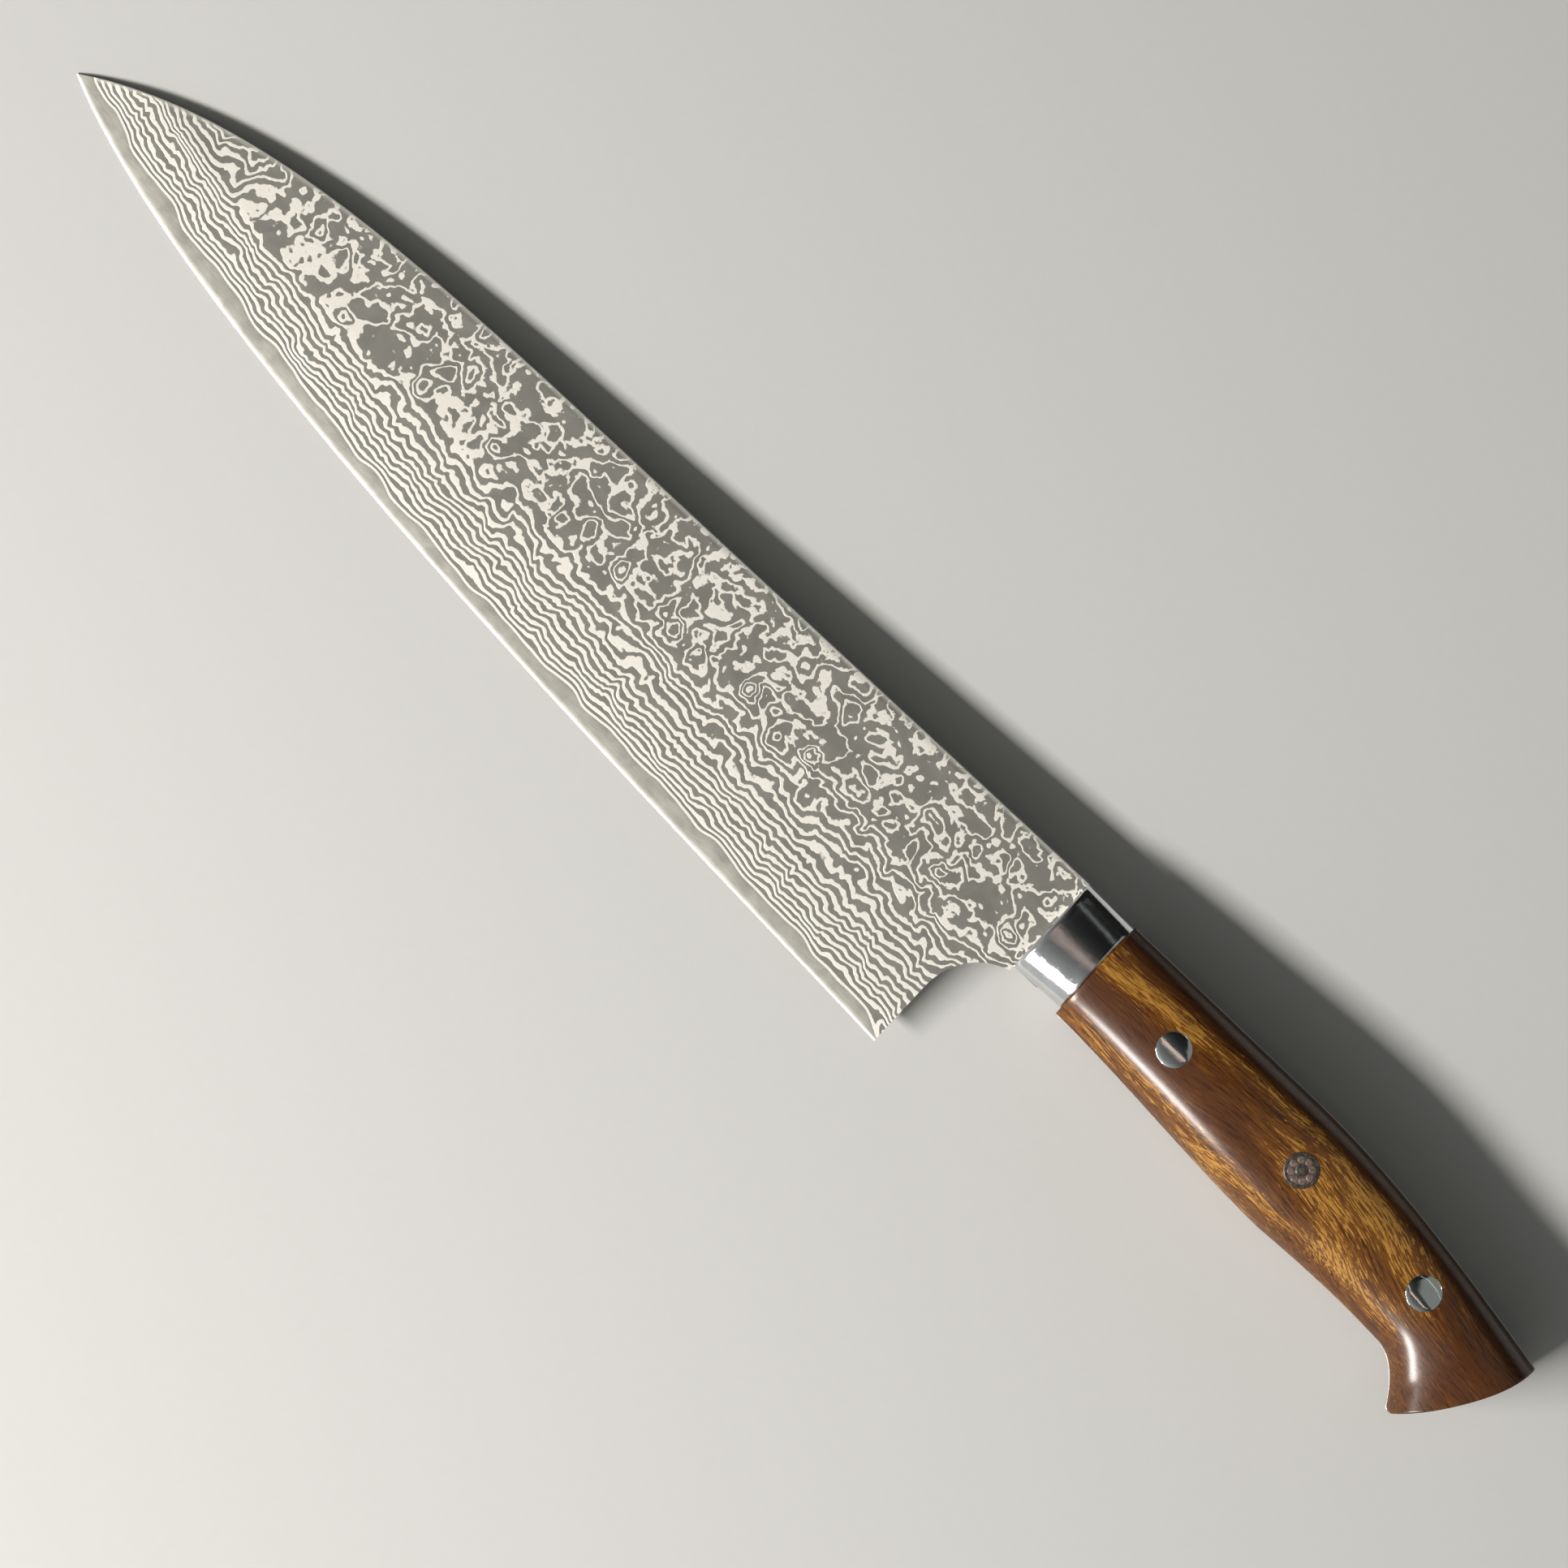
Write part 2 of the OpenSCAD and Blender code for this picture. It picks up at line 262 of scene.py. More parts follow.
@dataclass(frozen=True)
class KnifeFrame:
    """Turns the knife's own millimetres into metres of the row's frame.

    Attributes:
        shift: What is taken off after the knife is rolled and pitched, in millimetres.
        roll_deg: Roll about X that lets the edge side sink.
        pitch_deg: Pitch about Y that lays the handle and the point on the table.
    """

    shift: Tuple[float, float, float]
    roll_deg: float = -4.46
    pitch_deg: float = 1.87

    @staticmethod
    def turn(roll_deg: float, pitch_deg: float) -> np.ndarray:
        """Matrix that rolls and then pitches the knife."""
        roll = Matrix.Rotation(math.radians(roll_deg), 3, "X")
        pitch = Matrix.Rotation(math.radians(pitch_deg), 3, "Y")
        return np.array(pitch @ roll)

    @classmethod
    def from_blade(cls, plan: BladePlan) -> "KnifeFrame":
        """Finds the shift by matching the CAD core's box with the outline's own corners.

        Args:
            plan: The blade's outline.

        Returns:
            The frame that the CAD model lies in.
        """
        turn = cls.turn(cls.roll_deg, cls.pitch_deg)
        high = np.array(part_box("blade_core")[1]) / MM
        tip = turn @ np.array([plan.length, plan.tip_drop, 0.0])
        heel = turn @ np.array([plan.heel_forward, plan.heel_depth, plan.edge_half])
        stub = turn @ np.array([-plan.stub_length, plan.stub_top, plan.core_half])
        return cls((float(tip[0] - high[0]), float(heel[1] - high[1]), float(stub[2] - high[2])))

    def to_row(self, points: np.ndarray) -> np.ndarray:
        """Places of the row frame, in metres, for points of the knife in millimetres."""
        turn = self.turn(self.roll_deg, self.pitch_deg)
        return (np.asarray(points, float) @ turn.T - np.array(self.shift)) * MM

    def direction(self, along: Sequence[float]) -> Vector:
        """A direction of the knife's frame, turned into the row frame."""
        turn = self.turn(self.roll_deg, self.pitch_deg)
        return Vector(turn @ np.asarray(along, float)).normalized()


# ---------------------------------------------------------------- solids from sheets


@dataclass
class Solid:
    """A closed surface in the knife's frame.

    Attributes:
        points: One row of X, Y and Z per vertex, in millimetres.
        faces: Vertex numbers of each face.
    """

    points: np.ndarray
    faces: List[Tuple[int, ...]]


def solid_between(tops: Sequence[np.ndarray], bottoms: Sequence[np.ndarray]) -> Solid:
    """Closes the room between pairs of matching grids with walls round their border.

    Args:
        tops: Grids of points, each of shape rows, columns, 3, that meet at shared borders.
        bottoms: A grid of the same shape under each of them.

    Returns:
        The closed solid.
    """
    numbers: Dict[Tuple[float, ...], int] = {}
    upper: List[np.ndarray] = []
    lower: List[np.ndarray] = []
    quads: List[Tuple[int, ...]] = []
    for top, bottom in zip(tops, bottoms):
        rows, columns = top.shape[:2]
        index = np.zeros((rows, columns), int)
        for i in range(rows):
            for j in range(columns):
                key = tuple(np.round(top[i, j], 4))
                if key not in numbers:
                    numbers[key] = len(upper)
                    upper.append(top[i, j])
                    lower.append(bottom[i, j])
                index[i, j] = numbers[key]
        for i in range(rows - 1):
            for j in range(columns - 1):
                quad = (index[i, j], index[i + 1, j], index[i + 1, j + 1], index[i, j + 1])
                corners = tuple(dict.fromkeys(int(k) for k in quad))
                if len(corners) > 2:
                    quads.append(corners)
    count = len(upper)
    used: Dict[Tuple[int, int], int] = {}
    for quad in quads:
        for a, b in zip(quad, quad[1:] + quad[:1]):
            used[(min(a, b), max(a, b))] = used.get((min(a, b), max(a, b)), 0) + 1
    walls = [
        (a, b, b + count, a + count)
        for quad in quads
        for a, b in zip(quad, quad[1:] + quad[:1])
        if used[(min(a, b), max(a, b))] == 1
    ]
    under = [tuple(k + count for k in reversed(quad)) for quad in quads]
    return Solid(np.array(upper + lower), quads + walls + under)


def linked(name: str, data: bpy.types.ID) -> bpy.types.Object:
    """A new object that shows some data, linked into the scene."""
    made = bpy.data.objects.new(name, data)
    bpy.context.scene.collection.objects.link(made)
    return made


def mirrored(solid: Solid, side: Side) -> Solid:
    """The solid on its own side of the mid-plane."""
    return Solid(solid.points * np.array([1.0, 1.0, side.value]), solid.faces)


@dataclass
class Maker:
    """Makes pieces of the knife out of solids and puts them on the frame."""

    frame: KnifeFrame
    sharp_deg: float = 34.0
    drill_sides: int = 72
    drill_length: float = 60.0

    def piece(self, name: str, solid: Solid) -> bpy.types.Object:
        """Makes an object whose mesh is still in the knife's millimetres.

        Args:
            name: Name of the piece.
            solid: Its closed surface.

        Returns:
            The new object, linked into the scene.
        """
        mesh = bpy.data.meshes.new(name)
        mesh.from_pydata([tuple(p) for p in solid.points], [], solid.faces)
        return linked(name, mesh)

    def tidy(self, piece: bpy.types.Object) -> None:
        """Turns the faces outward and shades them smooth up to the sharp edges."""
        work = bmesh.new()
        work.from_mesh(piece.data)
        bmesh.ops.dissolve_degenerate(work, dist=1e-5, edges=work.edges)
        bmesh.ops.recalc_face_normals(work, faces=work.faces)
        limit = math.radians(self.sharp_deg)
        for face in work.faces:
            face.smooth = True
        for edge in work.edges:
            edge.smooth = len(edge.link_faces) == 2 and edge.calc_face_angle(0.0) < limit
        work.to_mesh(piece.data)
        work.free()

    def cut_round(self, piece: bpy.types.Object, places: Sequence[Place2], radius: float) -> None:
        """Bores round holes straight through a piece.

        Args:
            piece: The piece to bore.
            places: X and Y of each hole.
            radius: Radius of the holes.
        """
        for place in places:
            drill = bpy.data.meshes.new("drill")
            work = bmesh.new()
            bmesh.ops.create_cone(
                work,
                cap_ends=True,
                segments=self.drill_sides,
                radius1=radius,
                radius2=radius,
                depth=self.drill_length,
                matrix=Matrix.Translation((*place, 0.0)),
            )
            work.to_mesh(drill)
            work.free()
            cutter = linked("drill", drill)
            modifier = piece.modifiers.new("bore", "BOOLEAN")
            modifier.operation = "DIFFERENCE"
            modifier.solver = "EXACT"
            modifier.object = cutter
            graph = bpy.context.evaluated_depsgraph_get()
            bored = bpy.data.meshes.new_from_object(piece.evaluated_get(graph))
            piece.modifiers.clear()
            piece.data = bored
            bpy.data.objects.remove(cutter)

    def place(
        self,
        piece: bpy.types.Object,
        slot: str,
        material: bpy.types.Material,
        notes: Optional[Dict[str, Rule]] = None,
    ) -> bpy.types.Object:
        """Notes each vertex's place, lays the piece on the table and dresses it.

        Args:
            piece: The piece, in the knife's millimetres.
            slot: The record's material slot.
            material: The finish.
            notes: Further notes that the finish reads, and the rule that gives each.

        Returns:
            The same piece, in its place on the frame.
        """
        mesh = piece.data
        points = np.zeros(len(mesh.vertices) * 3)
        mesh.vertices.foreach_get("co", points)
        points = points.reshape(-1, 3)
        note = mesh.attributes.new("place", "FLOAT_VECTOR", "POINT")
        note.data.foreach_set("vector", points.astype(np.float32).ravel())
        for name, rule in (notes or {}).items():
            note = mesh.attributes.new(name, "FLOAT", "POINT")
            note.data.foreach_set("value", rule(points).astype(np.float32))
        mesh.vertices.foreach_set("co", self.frame.to_row(points).astype(np.float32).ravel())
        mesh.materials.clear()
        mesh.materials.append(material)
        mesh.update()
        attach(piece, "root")
        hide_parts(piece.name.replace("_look", ""))
        LOG.info("%s: %d vertices, slot %s", piece.name, len(mesh.vertices), slot)
        return piece


# ---------------------------------------------------------------- node trees


@dataclass(frozen=True)
class Grain:
    """Character of one noise.

    Attributes:
        pull: What each axis of the place is multiplied by before the noise reads it.
        scale: Features per unit of the place.
        detail: Number of finer octaves.
        rough: Strength of each finer octave.
        twist: How far the noise bends itself.
    """

    pull: Tuple[float, float, float] = (1.0, 1.0, 1.0)
    scale: float = 1.0
    detail: float = 2.0
    rough: float = 0.5
    twist: float = 0.0


class NodeBoard:
    """Adds nodes to one tree and joins them up."""

    def __init__(self, tree: bpy.types.NodeTree) -> None:
        """Starts work on a tree."""
        self.tree = tree

    def feed(self, socket: bpy.types.NodeSocket, value: Feed) -> None:
        """Links a socket to another one, or sets its own value."""
        if isinstance(value, bpy.types.NodeSocket):
            self.tree.links.new(value, socket)
        elif socket.type == "RGBA":
            socket.default_value = (*value, 1.0) if len(value) == 3 else value
        else:
            socket.default_value = value

    def feed_all(self, node: bpy.types.Node, **values: Feed) -> None:
        """Feeds several sockets of a node, their names written with _ for each space."""
        for name, value in values.items():
            self.feed(node.inputs[name.replace("_", " ")], value)

    def add(self, kind: str, inputs: Dict[Union[str, int], Feed], **settings: object) -> bpy.types.Node:
        """Adds one node.

        Args:
            kind: Blender's name of the node type.
            inputs: What goes into each socket, by its name or number.
            **settings: Properties of the node.

        Returns:
            The node.
        """
        node = self.tree.nodes.new(kind)
        for name, value in settings.items():
            setattr(node, name, value)
        for name, value in inputs.items():
            self.feed(node.inputs[name], value)
        return node

    def math(self, operation: str, *values: Feed) -> bpy.types.NodeSocket:
        """Result of one sum on numbers."""
        node = self.add("ShaderNodeMath", dict(enumerate(values)), operation=operation)
        return node.outputs[0]

    def vector(self, operation: str, *values: Feed) -> bpy.types.NodeSocket:
        """Result of one sum on vectors."""
        node = self.add("ShaderNodeVectorMath", dict(enumerate(values)), operation=operation)
        return node.outputs["Value" if operation in ("LENGTH", "DOT_PRODUCT") else "Vector"]

    def split(self, value: Feed) -> Tuple[bpy.types.NodeSocket, ...]:
        """X, Y and Z of a vector."""
        return tuple(self.add("ShaderNodeSeparateXYZ", {0: value}).outputs)

    def join(self, x: Feed, y: Feed, z: Feed = 0.0) -> bpy.types.NodeSocket:
        """A vector from its X, Y and Z."""
        return self.add("ShaderNodeCombineXYZ", {0: x, 1: y, 2: z}).outputs[0]

    def rise(
        self, value: Feed, low: Feed, high: Feed, start: Feed = 0.0, end: Feed = 1.0
    ) -> bpy.types.NodeSocket:
        """Eases from start to end while the value goes from low to high."""
        inputs: Dict[Union[str, int], Feed] = {0: value, 1: low, 2: high, 3: start, 4: end}
        return self.add("ShaderNodeMapRange", inputs, interpolation_type="SMOOTHSTEP").outputs[0]

    def blend(self, share: Feed, a: Feed, b: Feed) -> bpy.types.NodeSocket:
        """A colour a share of the way from a to b."""
        return self.add("ShaderNodeMix", {0: share, 6: a, 7: b}, data_type="RGBA").outputs[2]

    def between(self, share: Feed, a: Feed, b: Feed) -> bpy.types.NodeSocket:
        """A number a share of the way from a to b."""
        return self.add("ShaderNodeMix", {0: share, 2: a, 3: b}, data_type="FLOAT").outputs[0]

    def noise(self, where: Feed, grain: Grain) -> bpy.types.NodeSocket:
        """Soft noise about 0, from roughly -0.5 to 0.5."""
        pulled = where if grain.pull == Grain.pull else self.vector("MULTIPLY", where, grain.pull)
        inputs: Dict[Union[str, int], Feed] = {
            "Vector": pulled,
            "Scale": grain.scale,
            "Detail": grain.detail,
            "Roughness": grain.rough,
            "Distortion": grain.twist,
        }
        return self.math("SUBTRACT", self.add("ShaderNodeTexNoise", inputs).outputs[0], 0.5)

    def total(self, *values: Feed) -> bpy.types.NodeSocket:
        """Sum of several numbers."""
        result = values[0]
        for value in values[1:]:
            result = self.math("ADD", result, value)
        return result

    def times(self, *values: Feed) -> bpy.types.NodeSocket:
        """Product of several numbers."""
        result = values[0]
        for value in values[1:]:
            result = self.math("MULTIPLY", result, value)
        return result


@dataclass(frozen=True)
class Effect:
    """A shader node group that several finishes share.

    Attributes:
        name: Name of the group.
        inputs: Name and kind of each input socket.
        outputs: Name and kind of each output socket.
    """

    name: str
    inputs: Tuple[Tuple[str, str], ...]
    outputs: Tuple[Tuple[str, str], ...]

    def fill(self, board: NodeBoard, given: bpy.types.Node) -> Dict[str, Feed]:
        """Builds the nodes inside and returns what goes to each output."""
        raise NotImplementedError

    def tree(self) -> bpy.types.NodeTree:
        """The group's node tree, built the first time that it is asked for."""
        found = bpy.data.node_groups.get(self.name)
        if found is not None:
            return found
        tree = bpy.data.node_groups.new(self.name, "ShaderNodeTree")
        for name, kind in self.inputs:
            tree.interface.new_socket(name, in_out="INPUT", socket_type=kind)
        for name, kind in self.outputs:
            tree.interface.new_socket(name, in_out="OUTPUT", socket_type=kind)
        board = NodeBoard(tree)
        given = tree.nodes.new("NodeGroupInput")
        given_out = tree.nodes.new("NodeGroupOutput")
        for name, value in self.fill(board, given).items():
            board.feed(given_out.inputs[name], value)
        return tree

    def use(self, board: NodeBoard, **values: Feed) -> bpy.types.Node:
        """Places the group in a material and feeds its inputs."""
        node = board.tree.nodes.new("ShaderNodeGroup")
        node.node_tree = self.tree()
        board.feed_all(node, **values)
        return node


VECTOR = "NodeSocketVector"
FLOAT = "NodeSocketFloat"


class PolishMarks(Effect):
    """Fine rubbing marks and a soft haze on a polished or satin surface."""

    rubbed = Grain(detail=3.0, rough=0.6)
    crossed = Grain(scale=1.6)
    crossed_share = 0.6
    haze = Grain(scale=0.22, detail=3.0, rough=0.55, twist=0.4)

    def __init__(self) -> None:
        """Names the sockets."""
        super().__init__(
            "polish_marks",
            (("Place", VECTOR), ("Lengthwise", FLOAT), ("Crosswise", FLOAT)),
            (("Marks", FLOAT), ("Haze", FLOAT)),
        )

    def fill(self, board: NodeBoard, given: bpy.types.Node) -> Dict[str, Feed]:
        """Stretched noise in two directions, and a broad haze."""
        place = given.outputs["Place"]
        x, y, z = board.split(place)
        pulled_x = board.times(x, given.outputs["Lengthwise"])
        along = board.join(pulled_x, board.times(y, given.outputs["Crosswise"]), z)
        askew = board.vector("ADD", along, board.join(board.times(y, 1.7), board.times(x, 0.9)))
        crossed = board.times(board.noise(askew, self.crossed), self.crossed_share)
        marks = board.total(board.noise(along, self.rubbed), crossed)
        return {"Marks": marks, "Haze": board.noise(place, self.haze)}


@dataclass(frozen=True)
class Bumps:
    """Hammered bumps of the billet that the cladding was cut from.

    Attributes:
        grain: Their noise.
        on_bevel: Their height on the bevel, in layers.
        on_flat: Their height on the flat, in layers.
    """

    grain: Grain
    on_bevel: float
    on_flat: float

    def height(self, board: NodeBoard, where: Feed, open_face: Feed) -> Feed:
        """Their height at a place, from the share of the flat in it."""
        return board.times(
            board.noise(where, self.grain), board.between(open_face, self.on_bevel, self.on_flat)
        )


@dataclass(frozen=True)
class EyeRow:
    """A row of round bumps whose layers show as rings.

    Attributes:
        pitch: Distance between bumps along X, and between rows along Y.
        first: Place of one bump.
        reach: Radius of a bump.
        rings: Number of layers that it rises through.
        cell_shift: Shift of the cells that keeps each bump inside its own.
        unevenness: How far the bumps stray from even places.
        wobble: Noise that keeps the rings from being circles.
        wobble_mm: How far it moves them.
    """

    pitch: Place2 = (17.3, 9.0)
    first: Place2 = (3.0, 17.4)
    reach: float = 3.1
    rings: float = 2.4
    cell_shift: Tuple[float, float, float] = (0.13, 0.13, 0.0)
    unevenness: float = 0.26
    wobble: Grain = Grain(scale=0.55)
    wobble_mm: float = 1.5

    def height(self, board: NodeBoard, flat: Feed) -> Feed:
        """Height of the bumps at a place on the blade, in layers."""
        size = (*self.pitch, 1.0)
        cells = board.vector("DIVIDE", board.vector("SUBTRACT", flat, (*self.first, 0.0)), size)
        shifted = board.vector("ADD", cells, self.cell_shift)
        found = board.add(
            "ShaderNodeTexVoronoi",
            {"Vector": shifted, "Scale": 1.0, "Randomness": self.unevenness},
            voronoi_dimensions="2D",
            feature="F1",
        )
        middle = board.vector("SUBTRACT", found.outputs["Position"], self.cell_shift)
        away = board.vector("MULTIPLY", board.vector("SUBTRACT", cells, middle), size)
        wobble = board.times(board.noise(flat, self.wobble), self.wobble_mm)
        far = board.math("ADD", board.vector("LENGTH", away), wobble)
        strength = board.rise(board.split(found.outputs["Color"])[0], 0.1, 0.75, 0.45, 1.0)
        return board.times(board.rise(far, 0.0, self.reach, self.rings, 0.0), strength)


class ForgedLayers(Effect):
    """Etched layers of the cladding, cut open by the grind and by its hammered bumps."""

    layer_mm = 0.051
    core_half = 0.35
    free_above = 0.16
    bevel_end = (13.0, 29.0)
    drifts = ((Grain(scale=0.15, detail=1.0), 7.0), (Grain(scale=0.12, detail=1.0), 4.0))
    drift_apart = (40.0, 7.0, 3.0)
    waves = Bumps(Grain((0.075, 0.13, 1.0), detail=1.0), 2.0, 3.0)
    folds = Bumps(Grain((0.17, 0.055, 1.0)), 3.6, 1.0)
    steps = Bumps(Grain((0.185, 0.20, 1.0), rough=0.42), 1.3, 4.2)
    ripples = Bumps(Grain((0.46, 0.52, 1.0), detail=1.0), 0.55, 1.0)
    crumbs = Bumps(Grain(scale=1.9, rough=0.6), 0.06, 0.24)
    block_scale = 0.16
    block_middle = 0.45
    block_rise = 2.0
    eyes = EyeRow()
    point_span = (196.0, 226.0)
    point_gap = 12.0
    point_pitch = 0.72
    patch = Grain(scale=0.20, rough=0.55, twist=0.6)
    spine_span = (8.0, -1.0)
    soft_bevel = 0.22
    soft_flat = 0.20
    grain = Grain(scale=7.0, rough=0.6)

    def __init__(self) -> None:
        """Names the sockets."""
        super().__init__(
            "forged_layers",
            (("Place", VECTOR), ("Edge Gap", FLOAT), ("Over Weld", FLOAT), ("Shift", FLOAT)),
            (("Light", FLOAT), ("Patch", FLOAT), ("Grain", FLOAT)),
        )

    def warped(self, board: NodeBoard, flat: Feed) -> Feed:
        """The place on the blade, moved about by two broad noises."""
        (grain_x, reach_x), (grain_y, reach_y) = self.drifts
        drift_x = board.times(board.noise(flat, grain_x), reach_x)
        apart = board.vector("ADD", flat, self.drift_apart)
        drift_y = board.times(board.noise(apart, grain_y), reach_y)
        return board.vector("ADD", flat, board.join(drift_x, drift_y))

    def blocks(self, board: NodeBoard, warped: Feed, open_face: Feed) -> Feed:
        """Height of square-cornered lumps, which only show on the flat."""
        cells = board.add(
            "ShaderNodeTexVoronoi",
            {"Vector": warped, "Scale": self.block_scale, "Randomness": 0.85, "Smoothness": 0.35},
            voronoi_dimensions="2D",
            feature="SMOOTH_F1",
            distance="CHEBYCHEV",
        )
        lumps = board.math("SUBTRACT", cells.outputs["Distance"], self.block_middle)
        return board.times(lumps, board.times(open_face, self.block_rise))

    def fill(self, board: NodeBoard, given: bpy.types.Node) -> Dict[str, Feed]:
        """Contour bands of the ground height plus the bumps of the billet."""
        gap = given.outputs["Edge Gap"]
        height = given.outputs["Over Weld"]
        x, y, z = board.split(given.outputs["Place"])
        weld = board.math("SUBTRACT", board.math("ABSOLUTE", z), height)
        free = board.rise(height, 0.0, self.free_above)
        flat = board.join(board.math("ADD", x, given.outputs["Shift"]), y)
        warped = self.warped(board, flat)
        open_face = board.rise(gap, *self.bevel_end)
        bumps = board.total(
            *[bump.height(board, warped, open_face) for bump in (self.waves, self.folds, self.steps)],
            self.ripples.height(board, flat, open_face),
            self.blocks(board, warped, open_face),
            self.crumbs.height(board, flat, open_face),
        )
        row = board.times(
            self.eyes.height(board, flat),
            board.rise(gap, 15.0, 20.0),
            board.rise(y, 22.5, 20.5),
            board.rise(y, 11.0, 14.5, 0.5, 1.0),
        )
        weld_layers = board.math("DIVIDE", board.math("SUBTRACT", weld, self.core_half), self.layer_mm)
        past_gap = board.math("MAXIMUM", board.math("SUBTRACT", gap, self.point_gap), 0.0)
        phase = board.total(
            board.math("DIVIDE", height, self.layer_mm),
            board.times(free, board.total(weld_layers, bumps, row)),
            board.times(board.rise(x, *self.point_span), past_gap, self.point_pitch),
        )
        wave = board.math("SINE", board.times(phase, 2.0 * math.pi))
        patch = board.noise(warped, self.patch)
        near_spine = board.rise(y, *self.spine_span)
        crumbs = board.noise(flat, self.crumbs.grain)
        level = board.total(
            board.between(open_face, 0.12, 0.54),
            board.times(patch, board.between(open_face, 0.35, -1.3)),
            board.times(near_spine, 0.05),
            board.times(crumbs, board.between(near_spine, 0.3, 1.9)),
        )
        soft = board.between(open_face, self.soft_bevel, self.soft_flat)
        light = board.rise(wave, board.math("SUBTRACT", level, soft), board.math("ADD", level, soft))
        return {"Light": light, "Patch": patch, "Grain": board.noise(given.outputs["Place"], self.grain)}


class WoodFigure(Effect):
    """Streaked grain of the handle's hardwood, with its open pores."""

    wander = Grain((0.028, 0.05, 0.05), detail=1.0)
    wander_mm = 9.0
    lean_start = -50.0
    lean_end = -105.0
    lean_slope = 0.16
    fibres = Grain((0.17, 2.6, 1.3), detail=3.0, rough=0.62, twist=0.2)
    fine_fibres = Grain((0.42, 6.5, 3.5), rough=0.6)
    fine_share = 0.55
    threads = Grain((0.21, 3.4, 3.0), detail=3.0, rough=0.62, twist=0.35)
    broken_threads = Grain((0.55, 3.6, 3.2), rough=0.6)
    broken_share = 0.45
    zones = Grain((0.032, 0.19, 0.16))
    tone_share = 0.5
    pores = Grain((0.55, 6.5, 4.0), scale=1.3, rough=0.6)
    curl = Grain((0.30, 0.11, 0.1))

    def __init__(self) -> None:
        """Names the sockets."""
        super().__init__(
            "wood_figure",
            (("Place", VECTOR), ("Tone", FLOAT), ("Shift", FLOAT)),
            (("Streak", FLOAT), ("Threads", FLOAT), ("Zone", FLOAT), ("Pores", FLOAT), ("Curl", FLOAT)),
        )

    def fill(self, board: NodeBoard, given: bpy.types.Node) -> Dict[str, Feed]:
        """Long fibres along X that lean and wander, and short pores between them."""
        x, y, z = board.split(given.outputs["Place"])
        shifted = board.math("ADD", x, given.outputs["Shift"])
        wander = board.times(board.noise(board.join(shifted, y, z), self.wander), self.wander_mm)
        past = board.times(board.math("ADD", x, -self.lean_start), self.lean_slope)
        lean = board.times(board.rise(x, self.lean_start, self.lean_end), past)
        place = board.join(shifted, board.total(y, wander, lean), z)
        fine = board.times(board.noise(place, self.fine_fibres), self.fine_share)
        broken = board.times(board.noise(place, self.broken_threads), self.broken_share)
        # The Tone input carries random light and dark patches and the painted shade along the spine side.
        tone = board.times(given.outputs["Tone"], self.tone_share)
        return {
            "Streak": board.total(board.noise(place, self.fibres), fine),
            "Threads": board.total(board.noise(place, self.threads), broken),
            "Zone": board.total(board.noise(place, self.zones), tone),
            "Pores": board.noise(place, self.pores),
            "Curl": board.noise(place, self.curl),
        }


POLISH_MARKS = PolishMarks()
FORGED_LAYERS = ForgedLayers()
WOOD_FIGURE = WoodFigure()


def new_material(name: str) -> Tuple[bpy.types.Material, NodeBoard, bpy.types.Node]:
    """Starts a material.

    Args:
        name: Its name.

    Returns:
        The material, the board of its tree and its Principled shader.
    """
    material = bpy.data.materials.new(name)
    material.use_nodes = True
    tree = material.node_tree
    shader = next(n for n in tree.nodes if n.type == "BSDF_PRINCIPLED")
    return material, NodeBoard(tree), shader


def noted(board: NodeBoard, name: str) -> bpy.types.NodeSocket:
    """A note of the mesh: the place on the knife as a vector, or another note as a number."""
    node = board.add("ShaderNodeAttribute", {}, attribute_name=name, attribute_type="GEOMETRY")
    return node.outputs["Vector" if name == "place" else "Fac"]


def bumped(
    board: NodeBoard, shader: bpy.types.Node, height: Feed, depth_mm: float, strength: float
) -> None:
    """Gives the shader a bump that deep, in millimetres."""
    node = board.add("ShaderNodeBump", {"Strength": strength, "Distance": depth_mm * MM, "Height": height})
    board.feed(shader.inputs["Normal"], node.outputs[0])


def shade(colour: Colour, factor: float) -> Colour:
    """The colour made lighter or darker by a factor, up to full white."""
    return tuple(min(1.0, factor * c) for c in colour)


